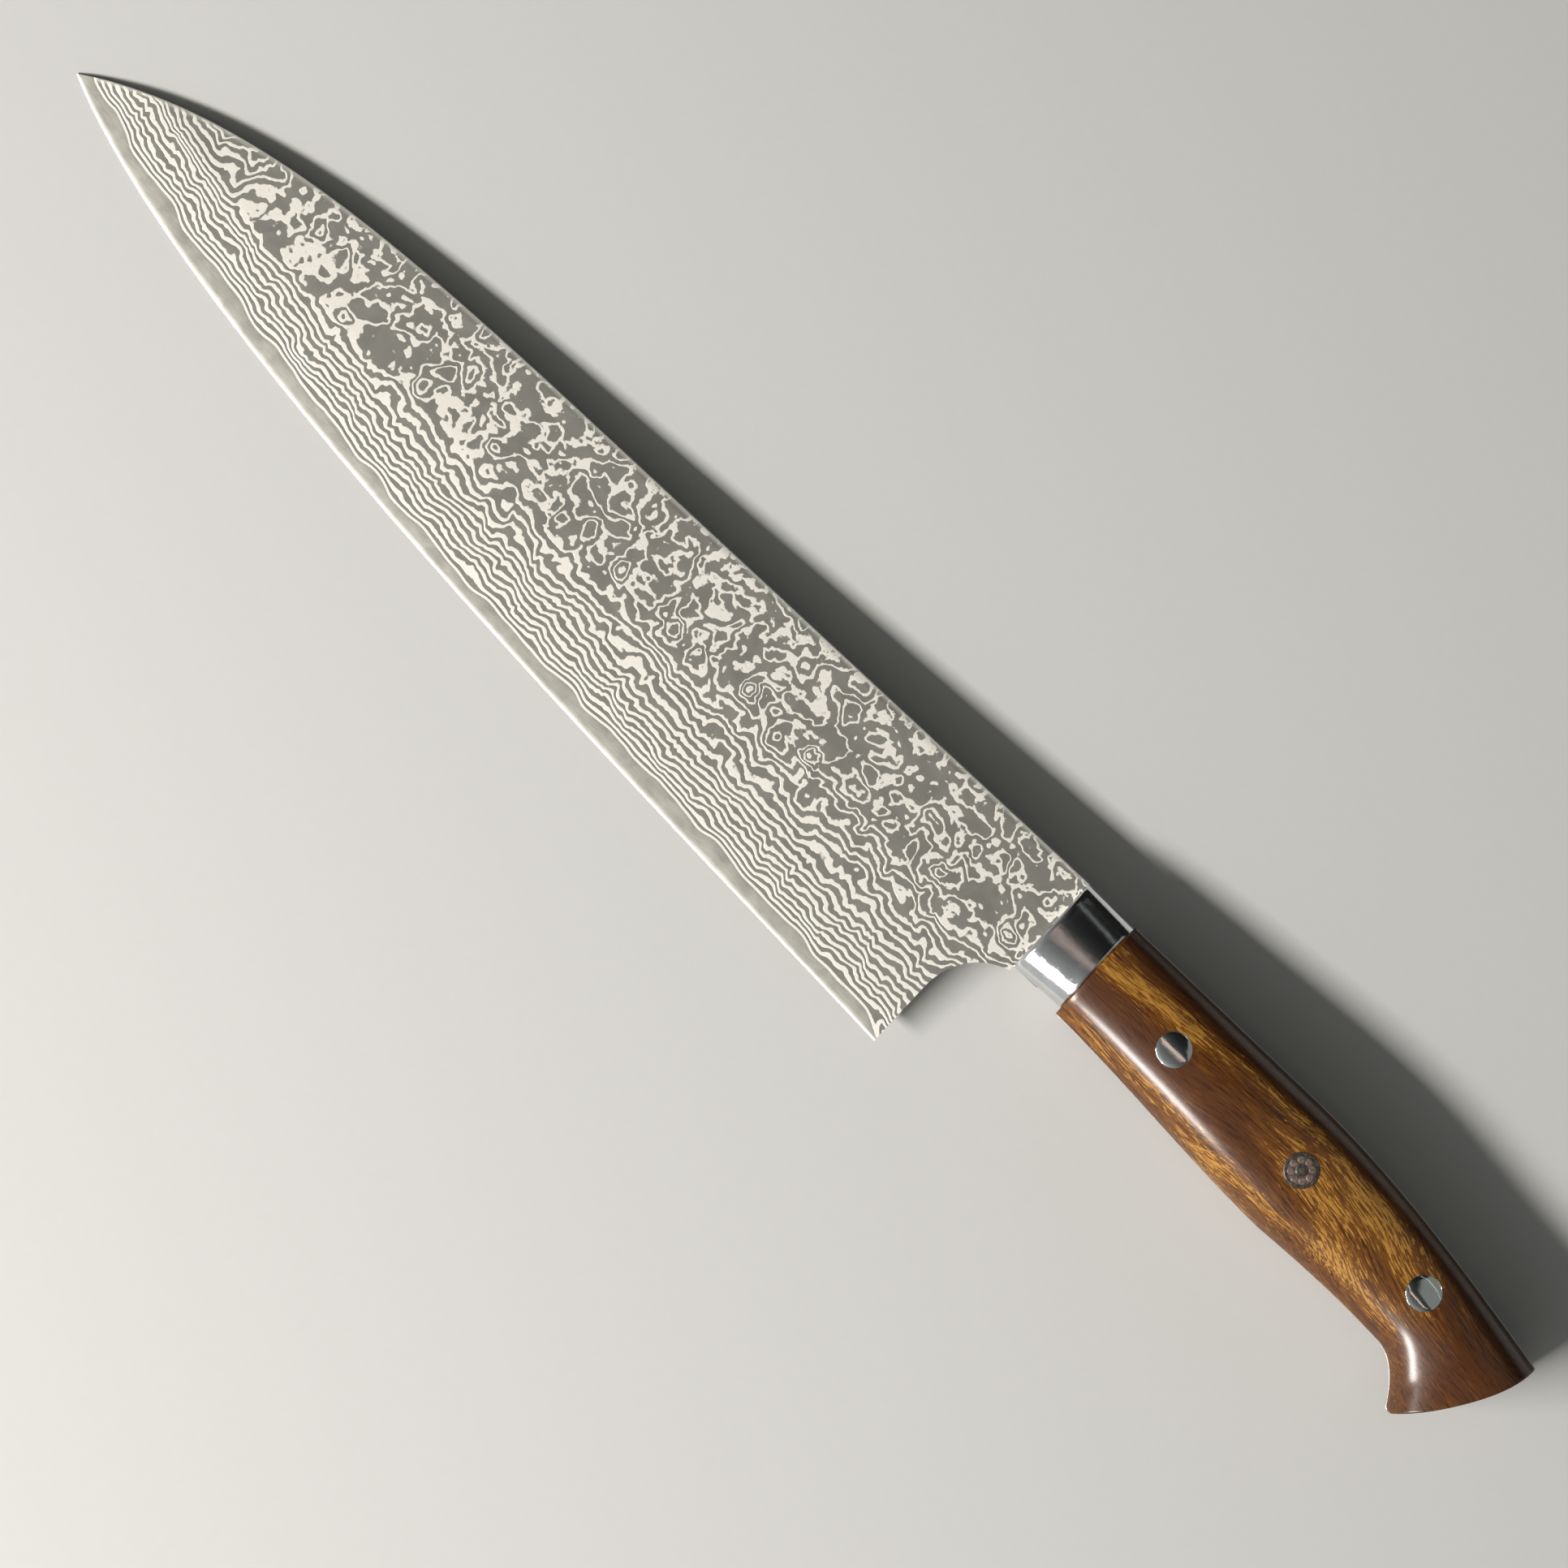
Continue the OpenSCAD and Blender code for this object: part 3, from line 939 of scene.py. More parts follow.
@dataclass(frozen=True)
class LayeredSteel:
    """Etched layered steel: cream lines that stand a little proud of dull grey ones, and a painted
    highlight along the spine.

    Attributes:
        dark: Colour of the etched layers.
        light: Colour of the bright layers.
        stub: Colour of the plain end at the bolster.
        rough: Roughness of the dark and of the bright layers.
        metallic: Metal share of the dark and of the bright layers.
        stub_rough: Roughness of the plain end.
        stub_span: X over which the pattern gives way to the plain end.
        spine_span: Distances from the spine over which the painted highlight on its eased edge fades in.
        spine_light: Least brightness of that painted highlight.
        relief_mm: How far the bright layers stand proud.
    """

    dark: Colour = (0.172, 0.168, 0.146)
    light: Colour = (0.97, 0.945, 0.86)
    stub: Colour = (0.66, 0.66, 0.65)
    rough: Place2 = (0.50, 0.36)
    metallic: Place2 = (0.42, 0.54)
    stub_rough: float = 0.24
    stub_span: Place2 = (-0.05, -0.25)
    spine_span: Place2 = (1.1, 0.2)
    spine_light: float = 0.45
    relief_mm: float = 0.02

    def material(self, name: str, shift: float) -> bpy.types.Material:
        """Builds the finish.

        Args:
            name: Name of the material.
            shift: How far along X the pattern is moved, so that the two faces differ.

        Returns:
            The material.
        """
        material, board, shader = new_material(name)
        place = noted(board, "place")
        gap, over = noted(board, "edge_gap"), noted(board, "over_weld")
        layers = FORGED_LAYERS.use(board, Place=place, Edge_Gap=gap, Over_Weld=over, Shift=shift)
        marks = POLISH_MARKS.use(board, Place=place, Lengthwise=0.5, Crosswise=6.0).outputs["Marks"]
        # Painted highlight on the spine's eased edge: the least brightness of the layers there.
        eased = board.times(board.rise(noted(board, "spine_gap"), *self.spine_span), self.spine_light)
        light = board.math("MAXIMUM", layers.outputs["Light"], eased)
        patch = board.rise(layers.outputs["Patch"], -0.25, 0.25)
        grain = layers.outputs["Grain"]
        colour = board.blend(light, board.blend(patch, self.dark, shade(self.dark, 1.25)), self.light)
        speckle = board.rise(grain, -0.35, 0.35, 0.86, 1.10)
        speckled = board.add("ShaderNodeVectorMath", {0: colour, 3: speckle}, operation="SCALE").outputs[0]
        held = board.rise(board.split(place)[0], *self.stub_span)
        rough = board.total(board.between(light, *self.rough), board.times(marks, 0.08))
        board.feed_all(
            shader,
            Base_Color=board.blend(held, speckled, self.stub),
            Roughness=board.between(held, rough, self.stub_rough),
            Metallic=board.between(held, board.between(light, *self.metallic), 1.0),
        )
        height = board.total(light, board.times(grain, 0.5), board.times(marks, 0.15))
        bumped(board, shader, height, self.relief_mm, 0.6)
        return material


@dataclass(frozen=True)
class GroundSteel:
    """Satin steel with grinding marks, and a polished band where it meets the edge."""

    name: str
    colour: Colour
    rough: float
    metallic: float = 0.6
    along: float = 0.35
    across: float = 5.0
    honed_width: float = 0.0
    honed: Colour = (0.62, 0.61, 0.58)
    honed_rough: float = 0.36

    def material(self) -> bpy.types.Material:
        """Builds the finish."""
        material, board, shader = new_material(self.name)
        marks = POLISH_MARKS.use(
            board, Place=noted(board, "place"), Lengthwise=self.along, Crosswise=self.across
        )
        haze, line = marks.outputs["Haze"], marks.outputs["Marks"]
        bright = board.rise(board.math("ADD", haze, board.times(line, 0.5)), -0.35, 0.35)
        colour = board.blend(bright, shade(self.colour, 0.84), shade(self.colour, 1.16))
        rough = board.total(self.rough, board.times(haze, 0.12), board.times(line, 0.10))
        if self.honed_width > 0.0:
            gap = noted(board, "edge_gap")
            honed = board.rise(gap, self.honed_width * 1.25, self.honed_width * 0.75)
            colour = board.blend(honed, colour, self.honed)
            rough = board.between(honed, rough, self.honed_rough)
        board.feed_all(shader, Base_Color=colour, Roughness=rough, Metallic=self.metallic)
        bumped(board, shader, line, 0.012, 0.5)
        return material


@dataclass(frozen=True)
class MirrorSteel:
    """Mirror-polished steel with hairline scratches and a faint smear."""

    name: str
    colour: Colour = (0.80, 0.81, 0.82)
    rough: float = 0.06
    scratch_mm: float = 0.010

    def material(self) -> bpy.types.Material:
        """Builds the finish."""
        material, board, shader = new_material(self.name)
        marks = POLISH_MARKS.use(board, Place=noted(board, "place"), Lengthwise=1.2, Crosswise=9.0)
        line, smear = marks.outputs["Marks"], marks.outputs["Haze"]
        haze = board.rise(smear, -0.3, 0.3)
        scratch = board.rise(line, 0.12, 0.42)
        rough = board.total(self.rough, board.times(haze, 0.05), board.times(scratch, 0.12))
        colour = board.blend(haze, shade(self.colour, 0.9), self.colour)
        board.feed_all(shader, Base_Color=colour, Roughness=rough, Metallic=1.0)
        bumped(board, shader, board.total(line, board.times(smear, 4.0)), self.scratch_mm, 0.8)
        return material


@dataclass(frozen=True)
class CastFill:
    """Dull metal or resin of the decorated pin, ground flush and stained."""

    name: str
    colour: Colour
    stain: Colour
    metallic: float
    rough: float
    stains: Grain = Grain(scale=1.1, detail=3.0, rough=0.65, twist=0.8)

    def material(self) -> bpy.types.Material:
        """Builds the finish."""
        material, board, shader = new_material(self.name)
        place = noted(board, "place")
        marks = POLISH_MARKS.use(board, Place=place, Lengthwise=1.5, Crosswise=7.0).outputs["Marks"]
        clean = board.rise(board.noise(place, self.stains), -0.16, 0.20)
        rough = board.total(self.rough, board.times(clean, -0.08), board.times(marks, 0.1))
        colour = board.blend(clean, self.stain, self.colour)
        board.feed_all(shader, Base_Color=colour, Roughness=rough, Metallic=self.metallic)
        bumped(board, shader, board.total(clean, marks), 0.012, 0.6)
        return material


@dataclass(frozen=True)
class WaxedWood:
    """Figured hardwood, waxed and buffed, with golden streaks on dark brown.

    Attributes:
        deep: Colour of the pores, of the darkest fibres and of the painted shade along the spine.
        brown: Colour of the ground in the golden zones.
        plain: Colour of the ground in the plain zones.
        amber: Colour of the broad streaks.
        gold: Colour of the fine golden threads.
        golden_slope: How strongly a zone draws in the streaks and threads.
        golden_most: The most that it does so.
        rough: Roughness under the wax.
        wax: Weight of the wax on the bare wood and in the pores.
        wax_rough: Roughness of the wax.
        wax_above: Heights over the mid-plane between which the wax sets in.
        shine: Specular level of the wood under the wax.
        relief_mm: Depth of the grain.
    """

    deep: Colour = (0.026, 0.0070, 0.0012)
    brown: Colour = (0.082, 0.0245, 0.0032)
    plain: Colour = (0.078, 0.0245, 0.0050)
    amber: Colour = (0.150, 0.053, 0.0060)
    gold: Colour = (0.440, 0.212, 0.0370)
    golden_slope: float = 0.80
    golden_most: float = 0.17
    rough: float = 0.40
    wax: Place2 = (0.72, 0.30)
    wax_rough: float = 0.21
    wax_above: Place2 = (2.5, 6.0)
    shine: float = 0.12
    relief_mm: float = 0.05

    def colour(self, board: NodeBoard, wood: bpy.types.Node, tone: Feed) -> Feed:
        """The wood's colour: ground, amber streaks, golden threads, then the dark parts and the painted
        shade.
        """
        zone, streak, threads, pores = (wood.outputs[n] for n in ("Zone", "Streak", "Threads", "Pores"))
        golden = board.math("MINIMUM", board.times(zone, self.golden_slope), self.golden_most)
        darkness = board.total(streak, board.times(golden, 0.2))
        colour = board.blend(board.rise(zone, -0.35, 0.10), self.plain, self.brown)
        colour = board.blend(board.rise(board.total(streak, golden), -0.12, 0.14), colour, self.amber)
        colour = board.blend(board.rise(board.total(threads, golden), 0.105, 0.205), colour, self.gold)
        for value, low, high, most in (
            (darkness, -0.04, -0.22, 0.85),
            (pores, -0.10, -0.26, 0.55),
            # This note darkens the wood's own plain patches and lays painted shade along the spine side.
            (tone, -0.5, -1.3, 0.6),
        ):
            colour = board.blend(board.times(board.rise(value, low, high), most), colour, self.deep)
        return colour

    def material(self, name: str, shift: float) -> bpy.types.Material:
        """Builds the finish.

        Args:
            name: Name of the material.
            shift: How far along X the figure is moved, so that the two scales differ.

        Returns:
            The material.
        """
        material, board, shader = new_material(name)
        place, tone = noted(board, "place"), noted(board, "tone")
        wood = WOOD_FIGURE.use(board, Place=place, Tone=tone, Shift=shift)
        streak, curl = wood.outputs["Streak"], wood.outputs["Curl"]
        pores = board.rise(wood.outputs["Pores"], -0.10, -0.26)
        raised = board.rise(board.math("ABSOLUTE", board.split(place)[2]), *self.wax_above)
        board.feed_all(
            shader,
            Base_Color=self.colour(board, wood, tone),
            Roughness=board.total(self.rough, board.times(pores, 0.18), board.times(curl, 0.10)),
            Coat_Weight=board.times(board.rise(pores, 0.0, 1.0, *self.wax), raised),
            Coat_Roughness=self.wax_rough,
            Specular_IOR_Level=self.shine,
        )
        height = board.total(board.times(streak, 1.3), board.times(curl, 2.6), board.times(pores, -0.9))
        bumped(board, shader, height, self.relief_mm, 0.7)
        return material


CORE_COLOUR: Colour = (0.365, 0.355, 0.315)
TANG_COLOUR: Colour = (0.46, 0.455, 0.44)
PIN_COLOUR: Colour = (0.74, 0.76, 0.75)
TUBE_STEEL = CastFill("pin_tube_steel", (0.20, 0.18, 0.165), (0.06, 0.05, 0.045), 0.8, 0.42)
ROD_METAL = CastFill("pin_rod_metal", (0.29, 0.215, 0.17), (0.12, 0.085, 0.068), 0.45, 0.45)
RESIN = CastFill("pin_resin", (0.105, 0.078, 0.066), (0.045, 0.033, 0.028), 0.0, 0.45)


# ---------------------------------------------------------------- the blade


@dataclass(frozen=True)
class StripMap:
    """Layout of a cladding's map: each face as two strips, one over the other.

    Attributes:
        half: Length of a strip; the blade is cut there.
        width: Length that the whole map stands for.
        height: Height that the whole map stands for.
        margin: Room left at the start of a strip.
        outer: Rise of the outer face's strips.
        inner: Rise of the inner face's strips.
        inner_scale: How much the hidden inner face is squeezed across.
        walls: Rise of the strips for the walls round the border.
        wall_scale: Room for the walls' thickness, and what keeps them apart along Y.
    """

    half: float = 126.0
    width: float = 128.0
    height: float = 128.0
    margin: float = 0.8
    outer: Place2 = (0.5, 52.5)
    inner: Place2 = (106.0, 113.0)
    inner_scale: float = 0.12
    walls: Place2 = (120.5, 124.0)
    wall_scale: Place2 = (1.2, 0.02)


@dataclass
class Blade:
    """The three-layer blade: a hard core between two layered claddings."""

    maker: Maker
    plan: BladePlan = field(default_factory=BladePlan)
    strips: StripMap = StripMap()
    weld_depth: float = 3.3
    right_turn: float = 2.1
    honed_width: float = 0.36
    honed_edge_half: float = 0.02
    spine_round: float = 0.22
    station_mm: float = 1.0
    point_blunt: float = 0.06
    right_shift: float = 310.0

    def weld_gap(self, x: np.ndarray, side: Side) -> np.ndarray:
        """Distance from the edge at which the core goes under the cladding.

        Args:
            x: Places along the blade.
            side: Face of the blade.

        Returns:
            The wavering distance, short at the heel and long at the point.
        """
        turn = 0.0 if side is Side.LEFT else self.right_turn
        taper = ease(span(x, 150.0, 215.0))
        steps = mix(0.36, 0.50, taper) * np.tanh(1.8 * np.sin(x / 2.6 + 1.1 * np.sin(x / 13.0) + turn))
        waves = steps + 0.20 * np.sin(x / 1.7 + 0.9 * np.sin(x / 5.0) + turn)
        broad = 0.50 * np.sin((x - 38.0) / 21.0 + turn)
        point = 0.3 * ease(span(x, 226.0, 243.0))
        heel = 2.2 * np.exp(-np.maximum(x - self.plan.heel_forward, 0.0) / 2.6)
        return np.maximum(self.weld_depth + waves + broad + point - heel, 0.7)

    def weld_half(self, x: np.ndarray, side: Side) -> np.ndarray:
        """Half thickness of the core under the cladding."""
        exact = self.plan.bevel_half(self.weld_gap(x, side))
        return mix(self.plan.core_half, exact, ease(span(x, 3.0, self.plan.heel_forward)))

    def stations(self, end: float) -> List[np.ndarray]:
        """X stations of the stub, the choil and the rest of the blade up to end."""
        heel = self.plan.heel_forward
        curve = heel * (1.0 - (1.0 - np.linspace(0, 1, 15)) ** 2.0)
        count = int((end - heel) / self.station_mm)
        body = mix(heel, end, np.linspace(0, 1, count))
        return [np.linspace(-self.plan.stub_length, 0.0, 5), curve, body]

    def rows(self, x: np.ndarray, stretch: Stretch, side: Side) -> np.ndarray:
        """Y of each row of points at one station, from the spine to the weld line.

        Args:
            x: One place along the blade.
            stretch: Stretch of the blade that it is on.
            side: Face of the blade.

        Returns:
            The rows' Y.
        """
        plan = self.plan
        top = float(plan.spine_y(x))
        heel = plan.heel_forward
        heel_weld = float(plan.edge_y(heel) - self.weld_gap(heel, side))
        choil_share = plan.choil_bend[-1] * plan.heel_depth / heel_weld
        stub_share = plan.stub_depth / plan.choil_end
        eased = np.array([0.0, 0.3, 1.0]) * self.spine_round
        inner = np.concatenate([np.linspace(0, stub_share, 22), [1.0]])
        if stretch is Stretch.STUB:
            bottom = plan.stub_depth
            shares = inner[:-1] / stub_share
        elif stretch is Stretch.CHOIL:
            bottom = float(plan.choil_y(x))
            shares = inner
        else:
            bottom = float(plan.edge_y(x) - self.weld_gap(x, side))
            outer = np.linspace(1.0, 1.0 / choil_share, 17)[1:]
            shares = np.concatenate([inner, outer]) * choil_share
        depth = max(bottom - top, 1e-3)
        eased = eased * min(1.0, depth / 2.0)
        return np.concatenate([top + eased, top + eased[-1] + shares[1:] * (depth - eased[-1])])

    def cladding_grid(
        self, xs: np.ndarray, stretch: Stretch, side: Side
    ) -> Tuple[np.ndarray, np.ndarray]:
        """Outer and inner grid of one stretch of the cladding."""
        plan = self.plan
        outer, inner = [], []
        for x in xs:
            y = self.rows(x, stretch, side)
            z = np.minimum(plan.flat_half(x), plan.bevel_half(plan.edge_y(x) - y))
            weld = float(self.weld_half(x, side))
            z = z - np.minimum(end_drop(y - y[0], self.spine_round), np.maximum(z - weld, 0.0) * 0.5)
            z = np.maximum(z, weld + 0.002)
            same = np.full_like(y, x)
            outer.append(np.stack([same, y, z], -1))
            inner.append(np.stack([same, y, np.full_like(y, weld)], -1))
        return np.array(outer), np.array(inner)

    def cladding_end(self, side: Side) -> float:
        """X at which the weld line meets the spine, short of the point."""
        x = np.linspace(200.0, self.plan.length, 2000)
        left = self.plan.edge_y(x) - self.weld_gap(x, side) - self.plan.spine_y(x)
        return float(x[np.argmax(left < 0.05)])

    def cladding(self, side: Side) -> Solid:
        """The layered cladding on one face."""
        pairs = [
            self.cladding_grid(xs, stretch, side)
            for stretch, xs in zip(Stretch, self.stations(self.cladding_end(side)))
        ]
        return mirrored(solid_between([p[0] for p in pairs], [p[1] for p in pairs]), side)

    def core_grid(self, xs: np.ndarray, stretch: Stretch, side: Side) -> np.ndarray:
        """One face of one stretch of the core."""
        plan = self.plan
        grid = []
        for x in xs:
            y = self.rows(x, stretch, side)
            if stretch is Stretch.BODY:
                edge = float(plan.edge_y(x))
                top = float(plan.spine_y(x))
                depth = edge - top
                gap = min(float(self.weld_gap(x, side)), 0.97 * depth)
                honed = min(self.honed_width, 0.3 * depth, 0.6 * gap)
                y = top + (y - y[0]) * (edge - gap - top) / (y[-1] - y[0])
                slope = edge - mix(gap, honed, np.array([0.25, 0.5, 0.75, 1.0]))
                y = np.concatenate([y, slope, [edge - honed / 2.0, edge]])
            z = np.minimum(plan.bevel_half(plan.edge_y(x) - y), float(self.weld_half(x, side)))
            if stretch is Stretch.BODY:
                honed_half = float(plan.bevel_half(honed))
                z[-2:] = mix(honed_half, self.honed_edge_half, np.array([0.5, 1.0]))
            grid.append(np.stack([np.full_like(y, x), y, z], -1))
        return np.array(grid)

    def core(self) -> Solid:
        """The core, from the stub to the point."""
        stations = self.stations(self.plan.length - self.point_blunt)
        tops = [self.core_grid(xs, stretch, Side.LEFT) for stretch, xs in zip(Stretch, stations)]
        flip = np.array([1.0, 1.0, -1.0])
        bottoms = [self.core_grid(xs, stretch, Side.RIGHT) * flip for stretch, xs in zip(Stretch, stations)]
        return solid_between(tops, bottoms)

    def gaps(self, points: np.ndarray) -> np.ndarray:
        """Distance of each point from the cutting edge, along Y."""
        return self.plan.edge_y(points[:, 0]) - points[:, 1]

    def spine_gaps(self, points: np.ndarray) -> np.ndarray:
        """Distance of each point from the spine, along Y."""
        return points[:, 1] - self.plan.spine_y(points[:, 0])

    def over_weld(self, points: np.ndarray, side: Side) -> np.ndarray:
        """Height of each point over the weld between core and cladding."""
        return np.abs(points[:, 2]) - self.weld_half(points[:, 0], side)

    def strip_map(self, piece: bpy.types.Object, outer_side: Side) -> None:
        """Lays out a cladding's map as two long strips, so that its fine lines stay fine.

        Args:
            piece: The cladding, in the knife's millimetres.
            outer_side: Which way its outer face looks.
        """
        mesh = piece.data
        strips = self.strips
        layer = mesh.uv_layers.new(name="OFBake")
        for polygon in mesh.polygons:
            along = polygon.center.x + self.plan.stub_length
            strip = 0 if along < strips.half else 1
            start = strip * strips.half - self.plan.stub_length - strips.margin
            facing = polygon.normal.z * outer_side.value
            for loop in polygon.loop_indices:
                p = mesh.vertices[mesh.loops[loop].vertex_index].co
                if facing > 0.5:
                    v = strips.outer[strip] + p.y
                elif facing < -0.5:
                    v = strips.inner[strip] + p.y * strips.inner_scale
                else:
                    thick, deep = strips.wall_scale
                    v = strips.walls[strip] + abs(p.z) * thick + p.y * deep
                layer.data[loop].uv = ((p.x - start) / strips.width, v / strips.height)

    def build(self) -> None:
        """Makes the core and the two claddings and dresses them."""
        satin = GroundSteel("core_satin", CORE_COLOUR, 0.40, 0.5, honed_width=self.honed_width)
        core = self.maker.piece("blade_core_look", self.core())
        self.maker.tidy(core)
        self.maker.place(core, "core_steel", satin.material(), {"edge_gap": self.gaps})
        for side, name, shift in ((Side.LEFT, "left", 0.0), (Side.RIGHT, "right", self.right_shift)):
            piece = self.maker.piece(f"cladding_{name}_look", self.cladding(side))
            self.maker.tidy(piece)
            self.strip_map(piece, side)
            finish = LayeredSteel().material(f"layered_steel_{name}", shift)
            notes: Dict[str, Rule] = {"edge_gap": self.gaps, "spine_gap": self.spine_gaps}
            notes["over_weld"] = lambda points, face=side: self.over_weld(points, face)
            self.maker.place(piece, "layered_steel", finish, notes)


# ---------------------------------------------------------------- tang and bolster


@dataclass
class Tang:
    """The full tang, whose rounded edge stands just proud of the scales."""

    maker: Maker
    grip: GripPlan = field(default_factory=GripPlan)
    round_mm: float = 0.08
    neck_front: float = -6.0
    neck_rear_ys: Place2 = (0.6, 20.7)
    neck_front_ys: Place2 = (0.45, 20.85)
    bore_radius: float = 3.62

    def outline(self) -> np.ndarray:
        """The tang's border, once round from the neck along the spine side."""
        grip = self.grip
        start = grip.front - 0.4
        spine_x = np.linspace(start, -118.0, 60)
        butt = cubic(grip.butt_curve, np.linspace(0, 1, 24))
        hook_x = np.linspace(grip.hook_end, grip.hook, 16)
        belly_x = np.linspace(grip.hook + 1.0, start, 50)
        neck = [
            (start, self.neck_rear_ys[1]),
            (self.neck_front, self.neck_front_ys[1]),
            (self.neck_front, self.neck_front_ys[0]),
            (start, self.neck_rear_ys[0]),
        ]
        return np.concatenate([
            np.stack([spine_x, grip.spine_y(spine_x)], -1),
            butt,
            np.stack([hook_x, grip.belly_y(hook_x)], -1),
            np.stack([belly_x, grip.belly_y(belly_x)], -1),
            neck,
        ])

    def build(self) -> None:
        """Makes the tang as a filled curve with rounded borders, and dresses it."""
        curve = bpy.data.curves.new("tang_plan", "CURVE")
        curve.dimensions = "2D"
        curve.fill_mode = "BOTH"
        curve.bevel_depth = self.round_mm
        curve.bevel_resolution = 3
        curve.extrude = self.grip.tang_half - self.round_mm
        angles = np.linspace(0, 2 * math.pi, 48, endpoint=False)
        circle = np.stack([np.cos(angles), np.sin(angles)], -1) * self.bore_radius
        for ring in [self.outline()] + [circle + np.array(p) for p in self.grip.pins]:
            spline = curve.splines.new("POLY")
            spline.points.add(len(ring) - 1)
            for point, (x, y) in zip(spline.points, ring):
                point.co = (float(x), float(y), 0.0, 1.0)
            spline.use_cyclic_u = True
        holder = linked("tang_plan", curve)
        graph = bpy.context.evaluated_depsgraph_get()
        mesh = bpy.data.meshes.new_from_object(holder.evaluated_get(graph))
        bpy.data.objects.remove(holder)
        piece = linked("tang_look", mesh)
        work = bmesh.new()
        work.from_mesh(mesh)
        bmesh.ops.remove_doubles(work, verts=work.verts, dist=1e-4)
        work.to_mesh(mesh)
        work.free()
        self.maker.tidy(piece)
        satin = GroundSteel("tang_satin", TANG_COLOUR, 0.34, 0.9, along=0.3, across=4.0)
        self.maker.place(piece, "tang_steel", satin.material())


@dataclass
class Bolster:
    """The polished bolster, one half on each face, rounded at the blade and at the wood."""

    maker: Maker
    length: float = 12.0
    depth: float = 21.3
    front_half: float = 6.1
    rear_half: float = 7.2
    flare_power: float = 1.3
    nose_round: float = 1.2
    rear_round: float = 0.7
    tang_half: float = 1.2

    def point(self, x: np.ndarray, share: np.ndarray) -> np.ndarray:
        """Points of the outer surface at x and at shares from the spine to the belly."""
        back = -x / self.length
        low = mix(0.0, 0.3, back)
        high = self.depth - low
        y = mix(low, high, share)
        half = mix(self.front_half, self.rear_half, back**self.flare_power)
        half = half - end_drop(-x, self.nose_round) - end_drop(self.length + x, self.rear_round)
        width = self.depth / 2.0
        rise = arc_rise((y - low) / width) * arc_rise((high - y) / width)
        return np.stack([x, y, self.tang_half + (half - self.tang_half) * rise], -1)

    def half_solid(self, side: Side) -> Solid:
        """One half of the bolster."""
        bend = 1.0 - np.cos(np.linspace(0, math.pi / 2, 9))
        rear = -self.length + self.rear_round * bend
        flare = np.linspace(-self.length + self.rear_round, -self.nose_round, 26)[1:-1]
        nose = -self.nose_round * bend[::-1]
        xs = np.concatenate([rear, flare, nose])
        shares = spread(64)
        grid_x, grid_s = np.meshgrid(xs, shares, indexing="ij")
        top = self.point(grid_x, grid_s)
        bottom = top.copy()
        bottom[..., 2] = self.tang_half
        bottom[:, (0, -1), 2] = self.tang_half - 0.01
        return mirrored(solid_between([top], [bottom]), side)

    def build(self) -> None:
        """Makes both halves and dresses them."""
        finish = MirrorSteel("bolster_mirror").material()
        for side, name in ((Side.LEFT, "left"), (Side.RIGHT, "right")):
            piece = self.maker.piece(f"bolster_{name}_look", self.half_solid(side))
            self.maker.tidy(piece)
            self.maker.place(piece, "bolster_steel", finish)


# ---------------------------------------------------------------- handle


@dataclass(frozen=True)
class ToneSpot:
    """A lighter or darker region of the wood, fading out over its two radii."""

    x: float
    y: float
    reach_x: float
    reach_y: float
    strength: float

    def at(self, points: np.ndarray) -> np.ndarray:
        """Its share in the tone at each point."""
        away_x = (points[:, 0] - self.x) / self.reach_x
        away_y = (points[:, 1] - self.y) / self.reach_y
        return self.strength * np.exp(-(away_x**2 + away_y**2))


FRONT_GOLD = ToneSpot(-22.0, 6.8, 15.0, 3.2, 0.55)
FRONT_PLAIN = ToneSpot(-20.0, 13.5, 20.0, 3.4, -0.65)
MIDDLE_PLAIN = ToneSpot(-48.0, 10.5, 9.0, 3.2, -0.35)
MIDDLE_GOLD = ToneSpot(-78.0, 11.0, 17.0, 7.0, 0.55)
BELLY_GOLD = ToneSpot(-62.0, 21.5, 28.0, 3.2, 0.50)
BUTT_PLAIN = ToneSpot(-112.0, 18.0, 9.0, 12.0, -0.45)
HOOK_DARK = ToneSpot(-113.0, 30.0, 6.0, 4.0, -0.45)
WOOD_TONES = (FRONT_GOLD, FRONT_PLAIN, MIDDLE_PLAIN, MIDDLE_GOLD, BELLY_GOLD, BUTT_PLAIN, HOOK_DARK)


